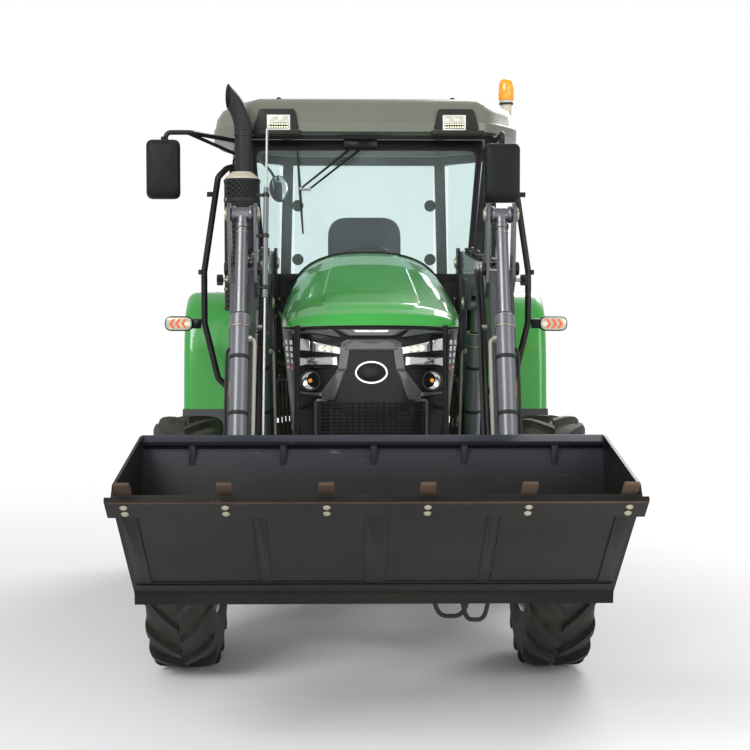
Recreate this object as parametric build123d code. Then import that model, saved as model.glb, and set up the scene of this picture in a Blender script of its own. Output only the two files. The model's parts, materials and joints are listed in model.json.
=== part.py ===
from build123d import *
import math
import os

os.makedirs("parts", exist_ok=True)

# Farm tractor with a cab and a front loader. Millimetres, +Z up, ground at Z = 0.
# It faces -Y, and its own left side is +X. The origin is the middle of its footprint.
# Every length along the tractor is measured back from the front axle, and the
# helpers below shift it by FRONT_AXLE_Y.

# Wheels and axles
FRONT_AXLE_Y = -570.0
WHEELBASE = 2200.0
FRONT_TYRE_D, FRONT_TYRE_W, FRONT_RIM_D, FRONT_TRACK = 1105.0, 284.0, 610.0, 1590.0
REAR_TYRE_D, REAR_TYRE_W, REAR_RIM_D, REAR_TRACK = 1475.0, 430.0, 762.0, 1550.0
FRONT_HUB_Z, REAR_HUB_Z = FRONT_TYRE_D / 2, REAR_TYRE_D / 2
KINGPIN_X = 660.0          # steering axis, from the tractor's middle plane
NECK_R = 60.0              # stub between the turning housing and the hub's flange
KINGPIN_R = 72.0           # outer radius of the turning housing
RIM_WALL = 8.0             # thickness of the rim's barrel
DISC_WALL = 12.0           # thickness of a wheel's disc
FRONT_DISC_X = 745.0       # inner face of the front wheel's disc
REAR_DISC_X = 735.0        # inner face of the rear wheel's disc
TRUMPET_END_X = 600.0      # end of the rear axle's fixed housing
SEAT_GAP = 0.3             # gap between pieces that seat on each other
RUN_GAP = 0.5              # gap between a turning piece and its carrier
CLEAR = 8.0                # gap between pieces that move past each other

# Chassis
BOLSTER_HALF_X, BOLSTER_Z0, BOLSTER_Z1 = 150.0, 690.0, 860.0
BOLSTER_Y0, BOLSTER_Y1 = -430.0, 300.0
ENGINE_HALF_X, ENGINE_Z0, ENGINE_Z1, ENGINE_Y1 = 205.0, 600.0, 1380.0, 940.0
GEARBOX_HALF_X, GEARBOX_Z0, GEARBOX_Z1 = 190.0, 480.0, 900.0
AXLE_CASE_Y0, AXLE_CASE_Y1 = 1960.0, 2440.0

# Hood and nose
HOOD_HALF_X = 372.0        # half width of the hood's side panels at their top
HOOD_EDGE_Z = 1495.0       # lower edge of the hood's top shell
HOOD_REAR_Y, HOOD_REAR_Z = 940.0, 1851.0
HOOD_WALL = 8.0
NOSE_Y = -560.0            # front of the nose mask at its middle
PANEL_FRONT_Y = -250.0     # where the green side panels meet the mask
PANEL_LOW_Z, PANEL_LOW_HALF_X = 960.0, 318.0
MASK_LOW_Z = 850.0
PANEL_GAP = 5.0            # joint between the hood's shell and what it shuts on

# Cab
CAB_FRONT_Y = 1110.0       # front face of the A-pillars at the floor
DOOR_REAR_Y = 2010.0       # door's hinge line
CAB_REAR_Y = 2380.0
CAB_FLOOR_Z, CAB_WALL = 1030.0, 12.0
CAB_LOW_HALF_X = 530.0     # cab's half width between the fenders
PILLAR_LOW_X, PILLAR_TOP_X = 560.0, 640.0
POST_T, POST_HALF, RAIL_H = 50.0, 22.0, 50.0
B_PILLAR_X = 735.0
SCREEN_LOW_Z, SCREEN_TOP_Z, SCREEN_TOP_Y = 1740.0, 2440.0, 1235.0
SCREEN_LEAN_IN = 15.0      # A-pillar's front face at the roof, ahead of SCREEN_TOP_Y
ROOF_Z0, ROOF_Z1 = 2468.0, 2659.0
ROOF_FRONT_Y, ROOF_REAR_Y = 1060.0, 2520.0
ROOF_FRONT_HALF_X, ROOF_HALF_X = 620.0, 840.0
GLASS = 6.0
DOOR_WALL = 30.0
HINGE_X, HINGE_Y, HINGE_R, HINGE_L = 764.0, 2010.0, 9.0, 45.0
HINGE_ZS = (1800.0, 2300.0)     # lower ends of the fixed hinge barrels

# Fenders
FENDER_IN_X, FENDER_OUT_X, FENDER_WALL = 536.0, 985.0, 8.0
FENDER_TOP_Z = REAR_TYRE_D + 185.0
ARCH_FOR_D = 1475.0        # rear tyre that the arch's offsets are given for

# Loader, as places (behind the front axle, above ground) of its pins
ARM_X = 505.0              # middle plane of each loader arm
ARM_W = 90.0
BOOM_PIVOT = (870.0, 1800.0)
KNEE = (-685.0, 1660.0)
FOOT = (-1060.0, 735.0)    # lower end of the arm's box
BUCKET_PIN = (-1175.0, 635.0)
DUMP_EAR = (BUCKET_PIN[0] + 55.0, BUCKET_PIN[1] + 170.0)
DUMP_EYE = (-715.0, 1945.0)
LIFT_BASE = (700.0, 700.0)
LIFT_EYE = (400.0, 1600.0)
ARM_DEPTH_TAIL, ARM_DEPTH_KNEE, ARM_DEPTH_FOOT = 120.0, 150.0, 84.0
PIN_R = 20.0
DUMP_BARREL_R, DUMP_ROD_R = 35.0, 24.0
LIFT_BARREL_R, LIFT_ROD_R = 38.0, 22.0
DUMP_BARREL_L, LIFT_BARREL_L = 790.0, 800.0
DUMP_STROKE, LIFT_STROKE = 221.0, 451.0   # what each rod still comes out from its place at rest
EYE_R, EYE_W = 36.0, 60.0
EAR_T = 12.0               # thickness of an ear plate
SIDE_PLAY = 1.0            # gap between an eye's side and its ear

# Bucket, as places of its section relative to BUCKET_PIN
BUCKET_W = 1696.0
BUCKET_WALL = 10.0
HEEL = (-140.0, -100.0)
BEND = (-146.0, -58.0)
LIP = (-648.0, 345.0)
BACK_TOP = (75.0, 482.0)
EDGE_W, EDGE_DEPTH, EDGE_T = 1736.0, 95.0, 16.0
TOOTH_N, TOOTH_W, TOOTH_OUT = 6, 50.0, 60.0

SIDES = (("left", 1.0), ("right", -1.0))


# ---------------------------------------------------------------- helpers
def put(x, y, z):
    """A point given by its distance behind the front axle."""
    return (x, FRONT_AXLE_Y + y, z)


def block(x0, x1, y0, y1, z0, z1):
    """A box between limits."""
    box = Box(abs(x1 - x0), abs(y1 - y0), abs(z1 - z0))
    return Pos(*put((x0 + x1) / 2, (y0 + y1) / 2, (z0 + z1) / 2)) * box


def outline(points, round_r=0.0):
    """A flat face from corner points, with its corners rounded."""
    face = make_face(Polyline(*points, close=True))
    return fillet(face.vertices(), round_r) if round_r else face


def side_cut(points, x0, x1, round_r=0.0):
    """A side-view outline of (y, z) points, run from x0 to x1."""
    low, high = min(x0, x1), max(x0, x1)
    face = outline([(FRONT_AXLE_Y + y, z) for y, z in points], round_r)
    return extrude(Plane.YZ.offset(low) * face, amount=high - low)


def front_cut(points, y0, y1, round_r=0.0):
    """A front-view outline of (x, z) points, run from y0 back to y1."""
    face = outline(points, round_r)
    return extrude(Plane.XZ.offset(-(FRONT_AXLE_Y + y1)) * face, amount=y1 - y0)


def plan_cut(points, z0, z1, round_r=0.0):
    """A top-view outline of (x, y) points, run from z0 up to z1."""
    face = outline([(x, FRONT_AXLE_Y + y) for x, y in points], round_r)
    return extrude(Plane.XY.offset(z0) * face, amount=z1 - z0)


def bar(start, end, radius):
    """A round bar between two (x, y, z) places."""
    a, b = Vector(*put(*start)), Vector(*put(*end))
    plane = Plane(origin=a, z_dir=b - a)
    return extrude(plane * Circle(radius), amount=(b - a).length)


def tube(points, radius, bend_r):
    """A round tube along straight runs joined by arcs."""
    path = FilletPolyline(*[put(*p) for p in points], radius=bend_r)
    return sweep(Plane(origin=path @ 0, z_dir=path % 0) * Circle(radius), path=path)


def both(shape):
    """A piece with its mirror image on the other side."""
    return shape + mirror(shape, Plane.YZ)


def on_side(shape, sign):
    """The piece, mirrored to the right side where sign is negative."""
    return shape if sign > 0 else mirror(shape, Plane.YZ)


def pin(place, x0, x1, radius):
    """A round piece across the tractor at a (y, z) place."""
    return bar((x0, *place), (x1, *place), radius)


def between(a, b, share):
    """The place a share of the way from a to b."""
    return tuple(p + (q - p) * share for p, q in zip(a, b))


def save(node, shape):
    export_step(shape, f"parts/{node}.step")


# ---------------------------------------------------------------- wheels
def wheel_solid(points, x, hub_y, hub_z):
    """A ring from (across, radius) points, turned round the axle."""
    face = make_face(Polyline(*points, close=True))
    ring = revolve(Plane.XY * face, axis=Axis.X, revolution_arc=360)
    return Pos(*put(x, hub_y, hub_z)) * ring


def tyre(x, hub_y, hub_z, outer_d, width, rim_d):
    """Carcass out to the lugs' tips, from bead to bead."""
    half, bead, crown = width / 2, width * 0.40, width * 0.36
    top, low = outer_d / 2, rim_d / 2 + SEAT_GAP
    wall = low + (top - low) * 0.45
    points = [(-bead, low), (-half, wall), (-half, top - width * 0.16), (-crown, top - 6),
              (0, top), (crown, top - 6), (half, top - width * 0.16), (half, wall), (bead, low)]
    return wheel_solid(points, x, hub_y, hub_z)


def rim(x, hub_y, hub_z, rim_d, width, disc_x, hub_in_x, hub_r):
    """Barrel, disc and hub of one left wheel; the hub reaches in to hub_in_x."""
    half, outer = width * 0.42, rim_d / 2
    inner = outer - RIM_WALL
    disc, hub_end = disc_x - x, hub_in_x - x
    points = [(-half, outer), (-half, inner), (disc, inner - 30), (disc, hub_r),
              (hub_end, hub_r), (hub_end, 0), (disc + DISC_WALL + 50, 0),
              (disc + DISC_WALL + 50, hub_r * 0.7), (disc + DISC_WALL, hub_r * 0.7),
              (disc + DISC_WALL, inner - 40), (half, inner), (half, outer)]
    return wheel_solid(points, x, hub_y, hub_z)


def wheels():
    front_x, rear_x = FRONT_TRACK / 2, REAR_TRACK / 2
    tyre_f = tyre(front_x, 0, FRONT_HUB_Z, FRONT_TYRE_D, FRONT_TYRE_W, FRONT_RIM_D)
    tyre_r = tyre(rear_x, WHEELBASE, REAR_HUB_Z, REAR_TYRE_D, REAR_TYRE_W, REAR_RIM_D)
    rim_f = rim(front_x, 0, FRONT_HUB_Z, FRONT_RIM_D, FRONT_TYRE_W, FRONT_DISC_X,
                FRONT_DISC_X - 10, 105.0)
    rim_r = rim(rear_x, WHEELBASE, REAR_HUB_Z, REAR_RIM_D, REAR_TYRE_W, REAR_DISC_X,
                TRUMPET_END_X + RUN_GAP, 120.0)
    for name, sign in SIDES:
        save(f"front_tyre_{name}", on_side(tyre_f, sign))
        save(f"front_rim_{name}", on_side(rim_f, sign))
        save(f"rear_tyre_{name}", on_side(tyre_r, sign))
        save(f"rear_rim_{name}", on_side(rim_r, sign))


# ---------------------------------------------------------------- axles and frame
def knuckle():
    """Left turning housing: an upright drum with the hub's stub pointing out."""
    upright = bar((KINGPIN_X, 0, FRONT_HUB_Z - 170), (KINGPIN_X, 0, FRONT_HUB_Z + 170), KINGPIN_R)
    face_x = FRONT_DISC_X - 10 - RUN_GAP
    stub = pin((0, FRONT_HUB_Z), KINGPIN_X, face_x, NECK_R)
    stub += pin((0, FRONT_HUB_Z), KINGPIN_X + 75, face_x, 118.0)
    arm = block(KINGPIN_X - 40, KINGPIN_X + 10, 40, 190, FRONT_HUB_Z - 120, FRONT_HUB_Z - 90)
    return upright + stub + arm


def front_axle_housing():
    """Centre case, tapered arms and the trunnions it rocks on."""
    case = bar((0, -150, FRONT_HUB_Z), (0, 130, FRONT_HUB_Z), 140)
    arms = both(pin((0, FRONT_HUB_Z), 90, KINGPIN_X, 68))
    trunnion = bar((0, -270, FRONT_HUB_Z + 60), (0, 250, FRONT_HUB_Z + 60), 45)
    ram = pin((-130, FRONT_HUB_Z + 30), -230, 230, 35) + pin((-130, FRONT_HUB_Z + 30), -480, 480, 14)
    web = block(-60, 60, -165, -120, FRONT_HUB_Z, FRONT_HUB_Z + 60)
    seat = both(bar((KINGPIN_X, 0, FRONT_HUB_Z - 200), (KINGPIN_X, 0, FRONT_HUB_Z + 200),
                    KINGPIN_R + RUN_GAP))
    return case + arms + trunnion + ram + web - seat


def front_frame():
    """Cast bolster with two hangers round the axle's trunnions."""
    nose = side_cut([(BOLSTER_Y0, BOLSTER_Z0 + 40), (BOLSTER_Y0 + 60, BOLSTER_Z0),
                     (BOLSTER_Y1, BOLSTER_Z0), (BOLSTER_Y1, BOLSTER_Z1),
                     (BOLSTER_Y0, BOLSTER_Z1)], -BOLSTER_HALF_X, BOLSTER_HALF_X)
    hangers = Part()
    for y0 in (-265, 180):
        hangers += block(-90, 90, y0, y0 + 60, FRONT_HUB_Z - 10, BOLSTER_Z0)
    bore = bar((0, -300, FRONT_HUB_Z + 60), (0, 280, FRONT_HUB_Z + 60), 45 + SEAT_GAP)
    relief = bar((0, -160, FRONT_HUB_Z), (0, 140, FRONT_HUB_Z), 140 + CLEAR)
    return nose + hangers - bore - relief


def engine_block():
    return block(-ENGINE_HALF_X, ENGINE_HALF_X, BOLSTER_Y1 + SEAT_GAP, ENGINE_Y1,
                 ENGINE_Z0, ENGINE_Z1)


BELL_HALF_X = GEARBOX_HALF_X + 10


def drivetrain():
    """Clutch housing, gearbox, rear axle case, its two trumpets and the drive shaft."""
    start = ENGINE_Y1 + SEAT_GAP
    bell = block(-BELL_HALF_X, BELL_HALF_X, start, start + 300, 450, 980)
    box = block(-GEARBOX_HALF_X, GEARBOX_HALF_X, start + 250, AXLE_CASE_Y1,
                GEARBOX_Z0, GEARBOX_Z1)
    case = block(-230, 230, AXLE_CASE_Y0, AXLE_CASE_Y1, GEARBOX_Z0 + 20, 985)
    trumpets = both(pin((WHEELBASE, REAR_HUB_Z), 200, TRUMPET_END_X, 112))
    flanges = both(pin((WHEELBASE, REAR_HUB_Z), 228, 258, 170))
    shaft_z = FRONT_HUB_Z - 66
    shaft = bar((0, 130 + SEAT_GAP, shaft_z), (0, start + 20, shaft_z), 28)
    return bell + box + case + trumpets + flanges + shaft


STEP_PLATE_X = 530.0       # inner face of the steps' hanger plates


def fuel_tank():
    """Plastic tank on the right, ahead of the rear wheel and under the cab."""
    return block(-STEP_PLATE_X + SEAT_GAP, -BELL_HALF_X - SEAT_GAP, 1130, 1400, 560, 960)


def tool_box():
    return block(BELL_HALF_X + SEAT_GAP, 480, 1130, 1400, 620, 960)


def steps():
    """Two treads a side on hanger plates under the door."""
    side = Part()
    for x0, x1, z in ((545, 700, 470), (545, 700, 760)):
        side += block(x0, x1, 1130, 1400, z, z + 25)
    for y in (1120, 1400):
        side += block(STEP_PLATE_X, 560, y, y + 10, 470, CAB_FLOOR_Z - CAB_WALL)
        side += front_cut([(545, 470), (715, 470), (715, 530), (660, 800), (545, 800)], y, y + 10)
    hanger = block(440, 560, 1120, 1410, CAB_FLOOR_Z - CAB_WALL - 12, CAB_FLOOR_Z - CAB_WALL - SEAT_GAP)
    return both(side + hanger)


# ---------------------------------------------------------------- hood and nose
# Sections of the hood's top shell: place, half width, shoulder height, crown height.
HOOD_SECTIONS = (
    (-520.0, 330.0, HOOD_EDGE_Z + 12, HOOD_EDGE_Z + 34),
    (-250.0, 372.0, HOOD_EDGE_Z + 50, 1635.0),
    (250.0, 384.0, HOOD_EDGE_Z + 80, 1760.0),
    (HOOD_REAR_Y, 388.0, HOOD_EDGE_Z + 110, HOOD_REAR_Z),
)


def hood_body(sections, inset, drop):
    """Loft of arched sections, each made smaller by inset and longer below by drop."""
    faces = []
    for y, half, shoulder, crown in sections:
        w, edge, top = half - inset, HOOD_EDGE_Z + PANEL_GAP - drop, crown - inset
        arch = (ThreePointArc((-w, shoulder), (0, top), (w, shoulder))
                + Polyline((w, shoulder), (w, edge), (-w, edge), (-w, shoulder)))
        faces.append(Plane.XZ.offset(-(FRONT_AXLE_Y + y)) * make_face(arch))
    return loft(faces)


HOOD_HINGE = (HOOD_REAR_Y + 10, 1698.0)
HOOD_LUG_X, LUG_T, HINGE_PIN_R, HALF_FAR = 200.0, 12.0, 8.0, 400.0


def hood():
    """Opening top shell: closed at the nose, open below and behind."""
    outer = hood_body(HOOD_SECTIONS, 0, 0)
    first, last = HOOD_SECTIONS[0], HOOD_SECTIONS[-1]
    inner = [(first[0] + HOOD_WALL, *first[1:])] + list(HOOD_SECTIONS[1:-1])
    inner.append((last[0] + 20, *last[1:]))
    y, z = HOOD_HINGE
    lugs = both(side_cut([(y - 70, z + 20), (y, z - 16), (y + 16, z), (y, z + 16), (y - 60, z + 84)],
                         HOOD_LUG_X, HOOD_LUG_X + LUG_T) - pin(HOOD_HINGE, 0, HALF_FAR,
                                                               HINGE_PIN_R + RUN_GAP))
    return outer - hood_body(inner, HOOD_WALL, 40) + lugs


def hood_sides():
    """Green side panels, leaning in towards their lower edge."""
    def panel(sign, x_in):
        return [(sign * (HOOD_HALF_X - x_in), HOOD_EDGE_Z),
                (sign * (PANEL_LOW_HALF_X - x_in), PANEL_LOW_Z)]
    out = panel(1, 0) + panel(1, HOOD_WALL)[::-1]
    side = front_cut(out, PANEL_FRONT_Y, HOOD_REAR_Y)
    vents = Part()
    for n in range(6):
        y = 380 + 62 * n
        vents += side_cut([(y, 1180), (y + 30, 1180), (y + 30, 1400), (y, 1400)], 250, 450, 10)
    shelf = block(ENGINE_HALF_X, HOOD_HALF_X - HOOD_WALL - 4, 600, 640,
                  HOOD_EDGE_Z - 300, HOOD_EDGE_Z - 290)
    return both(side - vents + shelf - block(-10, ENGINE_HALF_X + SEAT_GAP, 0, 900, 500, 1500))


# Corners of the nose mask's top edge, from the middle out to the left side.
MASK_CORNERS = ((0.0, NOSE_Y), (240.0, NOSE_Y + 22), (345.0, NOSE_Y + 85),
                (HOOD_HALF_X, PANEL_FRONT_Y - SEAT_GAP))
MASK_WALL = 14.0
MASK_LOW_SHARE = PANEL_LOW_HALF_X / HOOD_HALF_X


def mask_body(inset, z0, z1):
    """Loft between the mask's lower and upper plan outlines."""
    faces = []
    for z in (z0, z1):
        share = (z - PANEL_LOW_Z) / (HOOD_EDGE_Z - PANEL_LOW_Z)
        width = MASK_LOW_SHARE + (1 - MASK_LOW_SHARE) * share
        left = [((x - inset) * width if x else 0, FRONT_AXLE_Y + y + inset * (y < PANEL_FRONT_Y - 1))
                for x, y in MASK_CORNERS]
        left[-1] = (left[-1][0], left[-1][1] + (10 * inset))
        right = [(-x, y) for x, y in left[:0:-1]]
        faces.append(Plane.XY.offset(z) * make_face(Polyline(*left, *right, close=True)))
    return loft(faces, ruled=True)


FOG_X, FOG_Z, FOG_R = 250.0, 1305.0, 30.0
GRILLE_HALF_X, GRILLE_Z0, GRILLE_Z1 = 225.0, 890.0, 1225.0


def mask_lamp(inset):
    """Left lamp bodies, made smaller by inset to sit in their pockets."""
    lamp = front_cut([(168 + inset, 1350 + inset), (349 - inset, 1338 + inset),
                      (349 - inset, 1462 - inset), (188 + inset, 1452 - inset)],
                     NOSE_Y - 20, PANEL_FRONT_Y - 60)
    fog = bar((FOG_X, NOSE_Y - 20, FOG_Z - 30), (FOG_X, NOSE_Y + 160, FOG_Z - 30), FOG_R - inset)
    return lamp + fog


def nose_shell():
    return mask_body(0, MASK_LOW_Z, HOOD_EDGE_Z) - mask_body(MASK_WALL, MASK_LOW_Z - 40,
                                                             HOOD_EDGE_Z - MASK_WALL)


def nose_mask():
    """Black front cover with pockets for the lamps and the lower grille."""
    grille = block(-GRILLE_HALF_X, GRILLE_HALF_X, NOSE_Y - 50, NOSE_Y + 150, GRILLE_Z0, GRILLE_Z1)
    foot = block(-120, 120, BOLSTER_Y0 + 2, BOLSTER_Y0 + 60, BOLSTER_Z1 + SEAT_GAP, MASK_LOW_Z + 30)
    foot += block(-200, 200, NOSE_Y + 20, BOLSTER_Y0 + 60, MASK_LOW_Z + 12, MASK_LOW_Z + 30)
    return nose_shell() - grille - both(mask_lamp(0)) + foot


def headlamps():
    """Main lamp and fog lamp of each side, filling the mask's pockets."""
    lenses = both(mask_lamp(SEAT_GAP)) & mask_body(2, MASK_LOW_Z, HOOD_EDGE_Z)
    return lenses - mask_body(MASK_WALL + 40, MASK_LOW_Z - 40, HOOD_EDGE_Z - 1)


def nose_grille():
    """Dark lower grille: a frame with upright bars and cross slats."""
    gap = SEAT_GAP
    x1, z0, z1 = GRILLE_HALF_X - gap, GRILLE_Z0 + gap, GRILLE_Z1 - gap
    panel = block(-x1, x1, NOSE_Y - 20, NOSE_Y + 60, z0, z1)
    hole = block(-x1 + 14, x1 - 14, NOSE_Y - 40, NOSE_Y + 80, z0 + 14, z1 - 14)
    pitch = (z1 - z0 - 28) / 12
    slats = Part()
    for n in range(1, 12):
        z = z0 + 14 + pitch * n
        slats += block(-x1 + 5, x1 - 5, NOSE_Y - 20, NOSE_Y + 60, z - 5, z + 5)
    for x in (-75, 75):
        slats += block(x - 6, x + 6, NOSE_Y - 20, NOSE_Y + 60, z0 + 5, z1 - 5)
    band = mask_body(3, MASK_LOW_Z, HOOD_EDGE_Z) - mask_body(11, MASK_LOW_Z - 40, HOOD_EDGE_Z + 1)
    return (panel - hole + slats) & band


GUARD_X, GUARD_Y, GUARD_TOP_Z, GUARD_LOW_Z = 300.0, -600.0, 1512.0, 760.0


def front_guard():
    """Two upright flat bars on a cross bar that is bolted to the bolster."""
    bars = both(block(GUARD_X - 25, GUARD_X + 25, GUARD_Y - 6, GUARD_Y + 6, GUARD_LOW_Z, GUARD_TOP_Z))
    cross = block(-GUARD_X - 25, GUARD_X + 25, GUARD_Y - 6, GUARD_Y + 40, GUARD_LOW_Z, GUARD_LOW_Z + 50)
    stays = both(block(90, 150, GUARD_Y, BOLSTER_Y0 - SEAT_GAP, GUARD_LOW_Z, GUARD_LOW_Z + 50))
    return bars + cross + stays


# ---------------------------------------------------------------- cab
def cab_floor():
    """Floor, the seat's platform, the front wall and the sides between the fenders."""
    w, t = CAB_LOW_HALF_X, CAB_WALL
    z = CAB_FLOOR_Z
    floor = side_cut([(CAB_FRONT_Y, z - t), (1700, z - t), (1700, 1290 - t), (2400, 1290 - t),
                      (2400, 1290), (1700 - t, 1290), (1700 - t, z), (CAB_FRONT_Y, z)], -w, w)
    front = block(-w, w, CAB_FRONT_Y - t, CAB_FRONT_Y, z - t, SCREEN_LOW_Z - 60)
    hood_hole = block(-260 + t, 260 - t, CAB_FRONT_Y - 30, CAB_FRONT_Y + 10, z + 60, 1500 - t)
    tunnel = block(-260, 260, CAB_FRONT_Y, CAB_FRONT_Y + 130, z, 1500)
    tunnel -= block(-260 + t, 260 - t, CAB_FRONT_Y - 5, CAB_FRONT_Y + 130 - t, z, 1500 - t)
    rear = block(-w, w, 2400 - t, 2400, 1290, FENDER_TOP_Z)
    mounts = both(block(120, 230, 1750, 1900, 900 + SEAT_GAP, 1290 - t))
    mounts += both(block(60, 170, 1300, 1420, GEARBOX_Z1 + SEAT_GAP, z - t))
    return floor + front - hood_hole + tunnel + rear + mounts


def pillar(points, width_y, width_x):
    """A square post through (x, y, z) places, from a loft of two ends per run."""
    post = Part()
    for a, b in zip(points, points[1:]):
        ends = [Plane.XY.offset(p[2]) * Pos(p[0], FRONT_AXLE_Y + p[1]) * Rectangle(width_x, width_y)
                for p in (a, b)]
        post += loft(ends, ruled=True)
    return post


def cab_frame():
    """Six posts, the doors' hinge knuckles, the bar under the screen and the sills."""
    top_z = ROOF_Z0 - RAIL_H - SEAT_GAP
    a_y = CAB_FRONT_Y + POST_T / 2
    a_top_y = SCREEN_TOP_Y - SCREEN_LEAN_IN + POST_T / 2
    side = pillar([(PILLAR_LOW_X, a_y, CAB_FLOOR_Z + 8 + SEAT_GAP), (PILLAR_LOW_X, a_y, SCREEN_LOW_Z),
                   (PILLAR_TOP_X, a_top_y, top_z)], POST_T, 2 * POST_HALF)
    b_y, low_z = DOOR_REAR_Y + 40, FENDER_TOP_Z + 40 + SEAT_GAP
    side += pillar([(B_PILLAR_X, b_y, low_z), (B_PILLAR_X, b_y, top_z)], 60, 2 * POST_HALF)
    side += pillar([(470, CAB_REAR_Y, low_z), (450, CAB_REAR_Y - 30, top_z)], 60, 60)
    for z in HINGE_ZS:
        side += bar((HINGE_X, HINGE_Y, z), (HINGE_X, HINGE_Y, z + HINGE_L), HINGE_R)
        side += block(B_PILLAR_X, HINGE_X + 5, HINGE_Y, b_y, z, z + HINGE_L)
    side += block(CAB_LOW_HALF_X + SEAT_GAP, PILLAR_LOW_X + POST_HALF, CAB_FRONT_Y, 1400,
                  CAB_FLOOR_Z - CAB_WALL + SEAT_GAP, CAB_FLOOR_Z + 8)
    bar_x = PILLAR_LOW_X - POST_HALF - SEAT_GAP
    low_bar = block(-bar_x, bar_x, CAB_FRONT_Y, CAB_FRONT_Y + POST_T,
                    SCREEN_LOW_Z - 60 + SEAT_GAP, SCREEN_LOW_Z - 10)
    ear_x = HOOD_LUG_X + LUG_T + 1
    y, z = HOOD_HINGE
    low_bar += both(block(ear_x, ear_x + LUG_T, y - 14, CAB_FRONT_Y + 20, z - 14, z + 8)
                    + pin(HOOD_HINGE, HOOD_LUG_X - 4, ear_x + LUG_T, HINGE_PIN_R))
    return both(side) + low_bar


def cab_rails():
    """The roof's ring of rails over the posts, and the sills on the fenders."""
    b_y, z0, z1 = DOOR_REAR_Y + 40, ROOF_Z0 - RAIL_H, ROOF_Z0 - SEAT_GAP
    back_y = CAB_REAR_Y - 50
    side = plan_cut([(PILLAR_TOP_X - POST_HALF, SCREEN_TOP_Y), (PILLAR_TOP_X + POST_HALF, SCREEN_TOP_Y),
                     (B_PILLAR_X + POST_HALF, b_y - SEAT_GAP), (B_PILLAR_X - POST_HALF, b_y - SEAT_GAP)],
                    z0, z1)
    side += plan_cut([(B_PILLAR_X - POST_HALF, b_y), (B_PILLAR_X + POST_HALF, b_y),
                      (500, back_y - SEAT_GAP), (440, back_y - SEAT_GAP)], z0, z1)
    sill_z0, sill_z1 = FENDER_TOP_Z + SEAT_GAP, FENDER_TOP_Z + 40
    side += block(440, B_PILLAR_X + POST_HALF, b_y - 30, CAB_REAR_Y - 30 - SEAT_GAP, sill_z0, sill_z1)
    front_x = PILLAR_TOP_X - POST_HALF - SEAT_GAP
    front = block(-front_x, front_x, SCREEN_TOP_Y - 12, SCREEN_TOP_Y + 35, SCREEN_TOP_Z + 10, z1)
    rear = block(-500, 500, back_y, CAB_REAR_Y, z0, z1)
    rear_sill = block(-500, 500, CAB_REAR_Y - 30, CAB_REAR_Y + 30, sill_z0, sill_z1)
    return both(side) + front + rear + rear_sill


def windscreen():
    """Front glass, leaning back from the cowl to the roof."""
    z0, z1 = SCREEN_LOW_Z - 30, SCREEN_TOP_Z + 5
    lean = (SCREEN_TOP_Y - SCREEN_LEAN_IN - CAB_FRONT_Y) / (ROOF_Z0 - SCREEN_LOW_Z)
    low_y = CAB_FRONT_Y + lean * (z0 - SCREEN_LOW_Z) - SEAT_GAP
    top_y = CAB_FRONT_Y + lean * (z1 - SCREEN_LOW_Z) - SEAT_GAP
    pane = side_cut([(low_y - GLASS, z0), (low_y, z0), (top_y, z1), (top_y - GLASS, z1)], -620, 620)
    face = front_cut([(-540, z0 - 5), (540, z0 - 5), (612, z1 + 5), (-612, z1 + 5)], low_y - 40, top_y + 40)
    return pane & face


def cab_glass():
    """Rear window and the two fixed quarter windows behind the doors."""
    z0, z1 = FENDER_TOP_Z + 40 + SEAT_GAP, ROOF_Z0 - 50 - SEAT_GAP
    rear = block(-414, 414, CAB_REAR_Y - 28, CAB_REAR_Y - 28 + GLASS, z0, z1)
    y0, y1 = DOOR_REAR_Y + 70 + SEAT_GAP, CAB_REAR_Y - 62
    quarter = plan_cut([(B_PILLAR_X - 6, y0), (B_PILLAR_X, y0), (508, y1), (502, y1)], z0, z1)
    return rear + both(quarter)


# Corners of the left door, seen from the side, before it is leaned to the cab's side.
DOOR_CORNERS = ((1190.0, CAB_FLOOR_Z + 20), (1370.0, CAB_FLOOR_Z + 20), (1370.0, 1560.0),
                (1440.0, 1690.0), (DOOR_REAR_Y - 6, 1700.0), (DOOR_REAR_Y - 6, ROOF_Z0 - 62),
                (1268.0, ROOF_Z0 - 62), (1170.0, SCREEN_LOW_Z))
DOOR_FRAME_W = 38.0


def door_plane(offset, wall):
    """Slab that follows the cab's side, from the A-pillar back to the B-pillar."""
    x0, x1 = PILLAR_LOW_X + 30 + offset, B_PILLAR_X - 18 + offset
    return plan_cut([(x0, 1120), (x1, DOOR_REAR_Y), (x1 + wall, DOOR_REAR_Y), (x0 + wall, 1120)],
                    CAB_FLOOR_Z - 100, ROOF_Z1)


def door_frame():
    """Left door: a welded frame round its glass, with the hinge knuckles."""
    ring = side_cut(DOOR_CORNERS, 500, 900, 18)
    hole = offset(make_face(Polyline(*[(FRONT_AXLE_Y + y, z) for y, z in DOOR_CORNERS], close=True)),
                  amount=-DOOR_FRAME_W)
    cut = extrude(Plane.YZ.offset(450) * hole, amount=500)
    frame = (ring - cut) & door_plane(0, DOOR_WALL)
    low, high = HINGE_ZS
    for z in (low - HINGE_L - SEAT_GAP, high + HINGE_L + SEAT_GAP):
        frame += bar((HINGE_X, HINGE_Y, z), (HINGE_X, HINGE_Y, z + HINGE_L), HINGE_R)
        frame += block(B_PILLAR_X, HINGE_X + 5, HINGE_Y - 40, HINGE_Y, z, z + HINGE_L)
    return frame


def door_glass():
    hole = offset(make_face(Polyline(*[(FRONT_AXLE_Y + y, z) for y, z in DOOR_CORNERS], close=True)),
                  amount=-DOOR_FRAME_W - SEAT_GAP)
    return extrude(Plane.YZ.offset(450) * hole, amount=500) & door_plane(12, GLASS)


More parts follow.
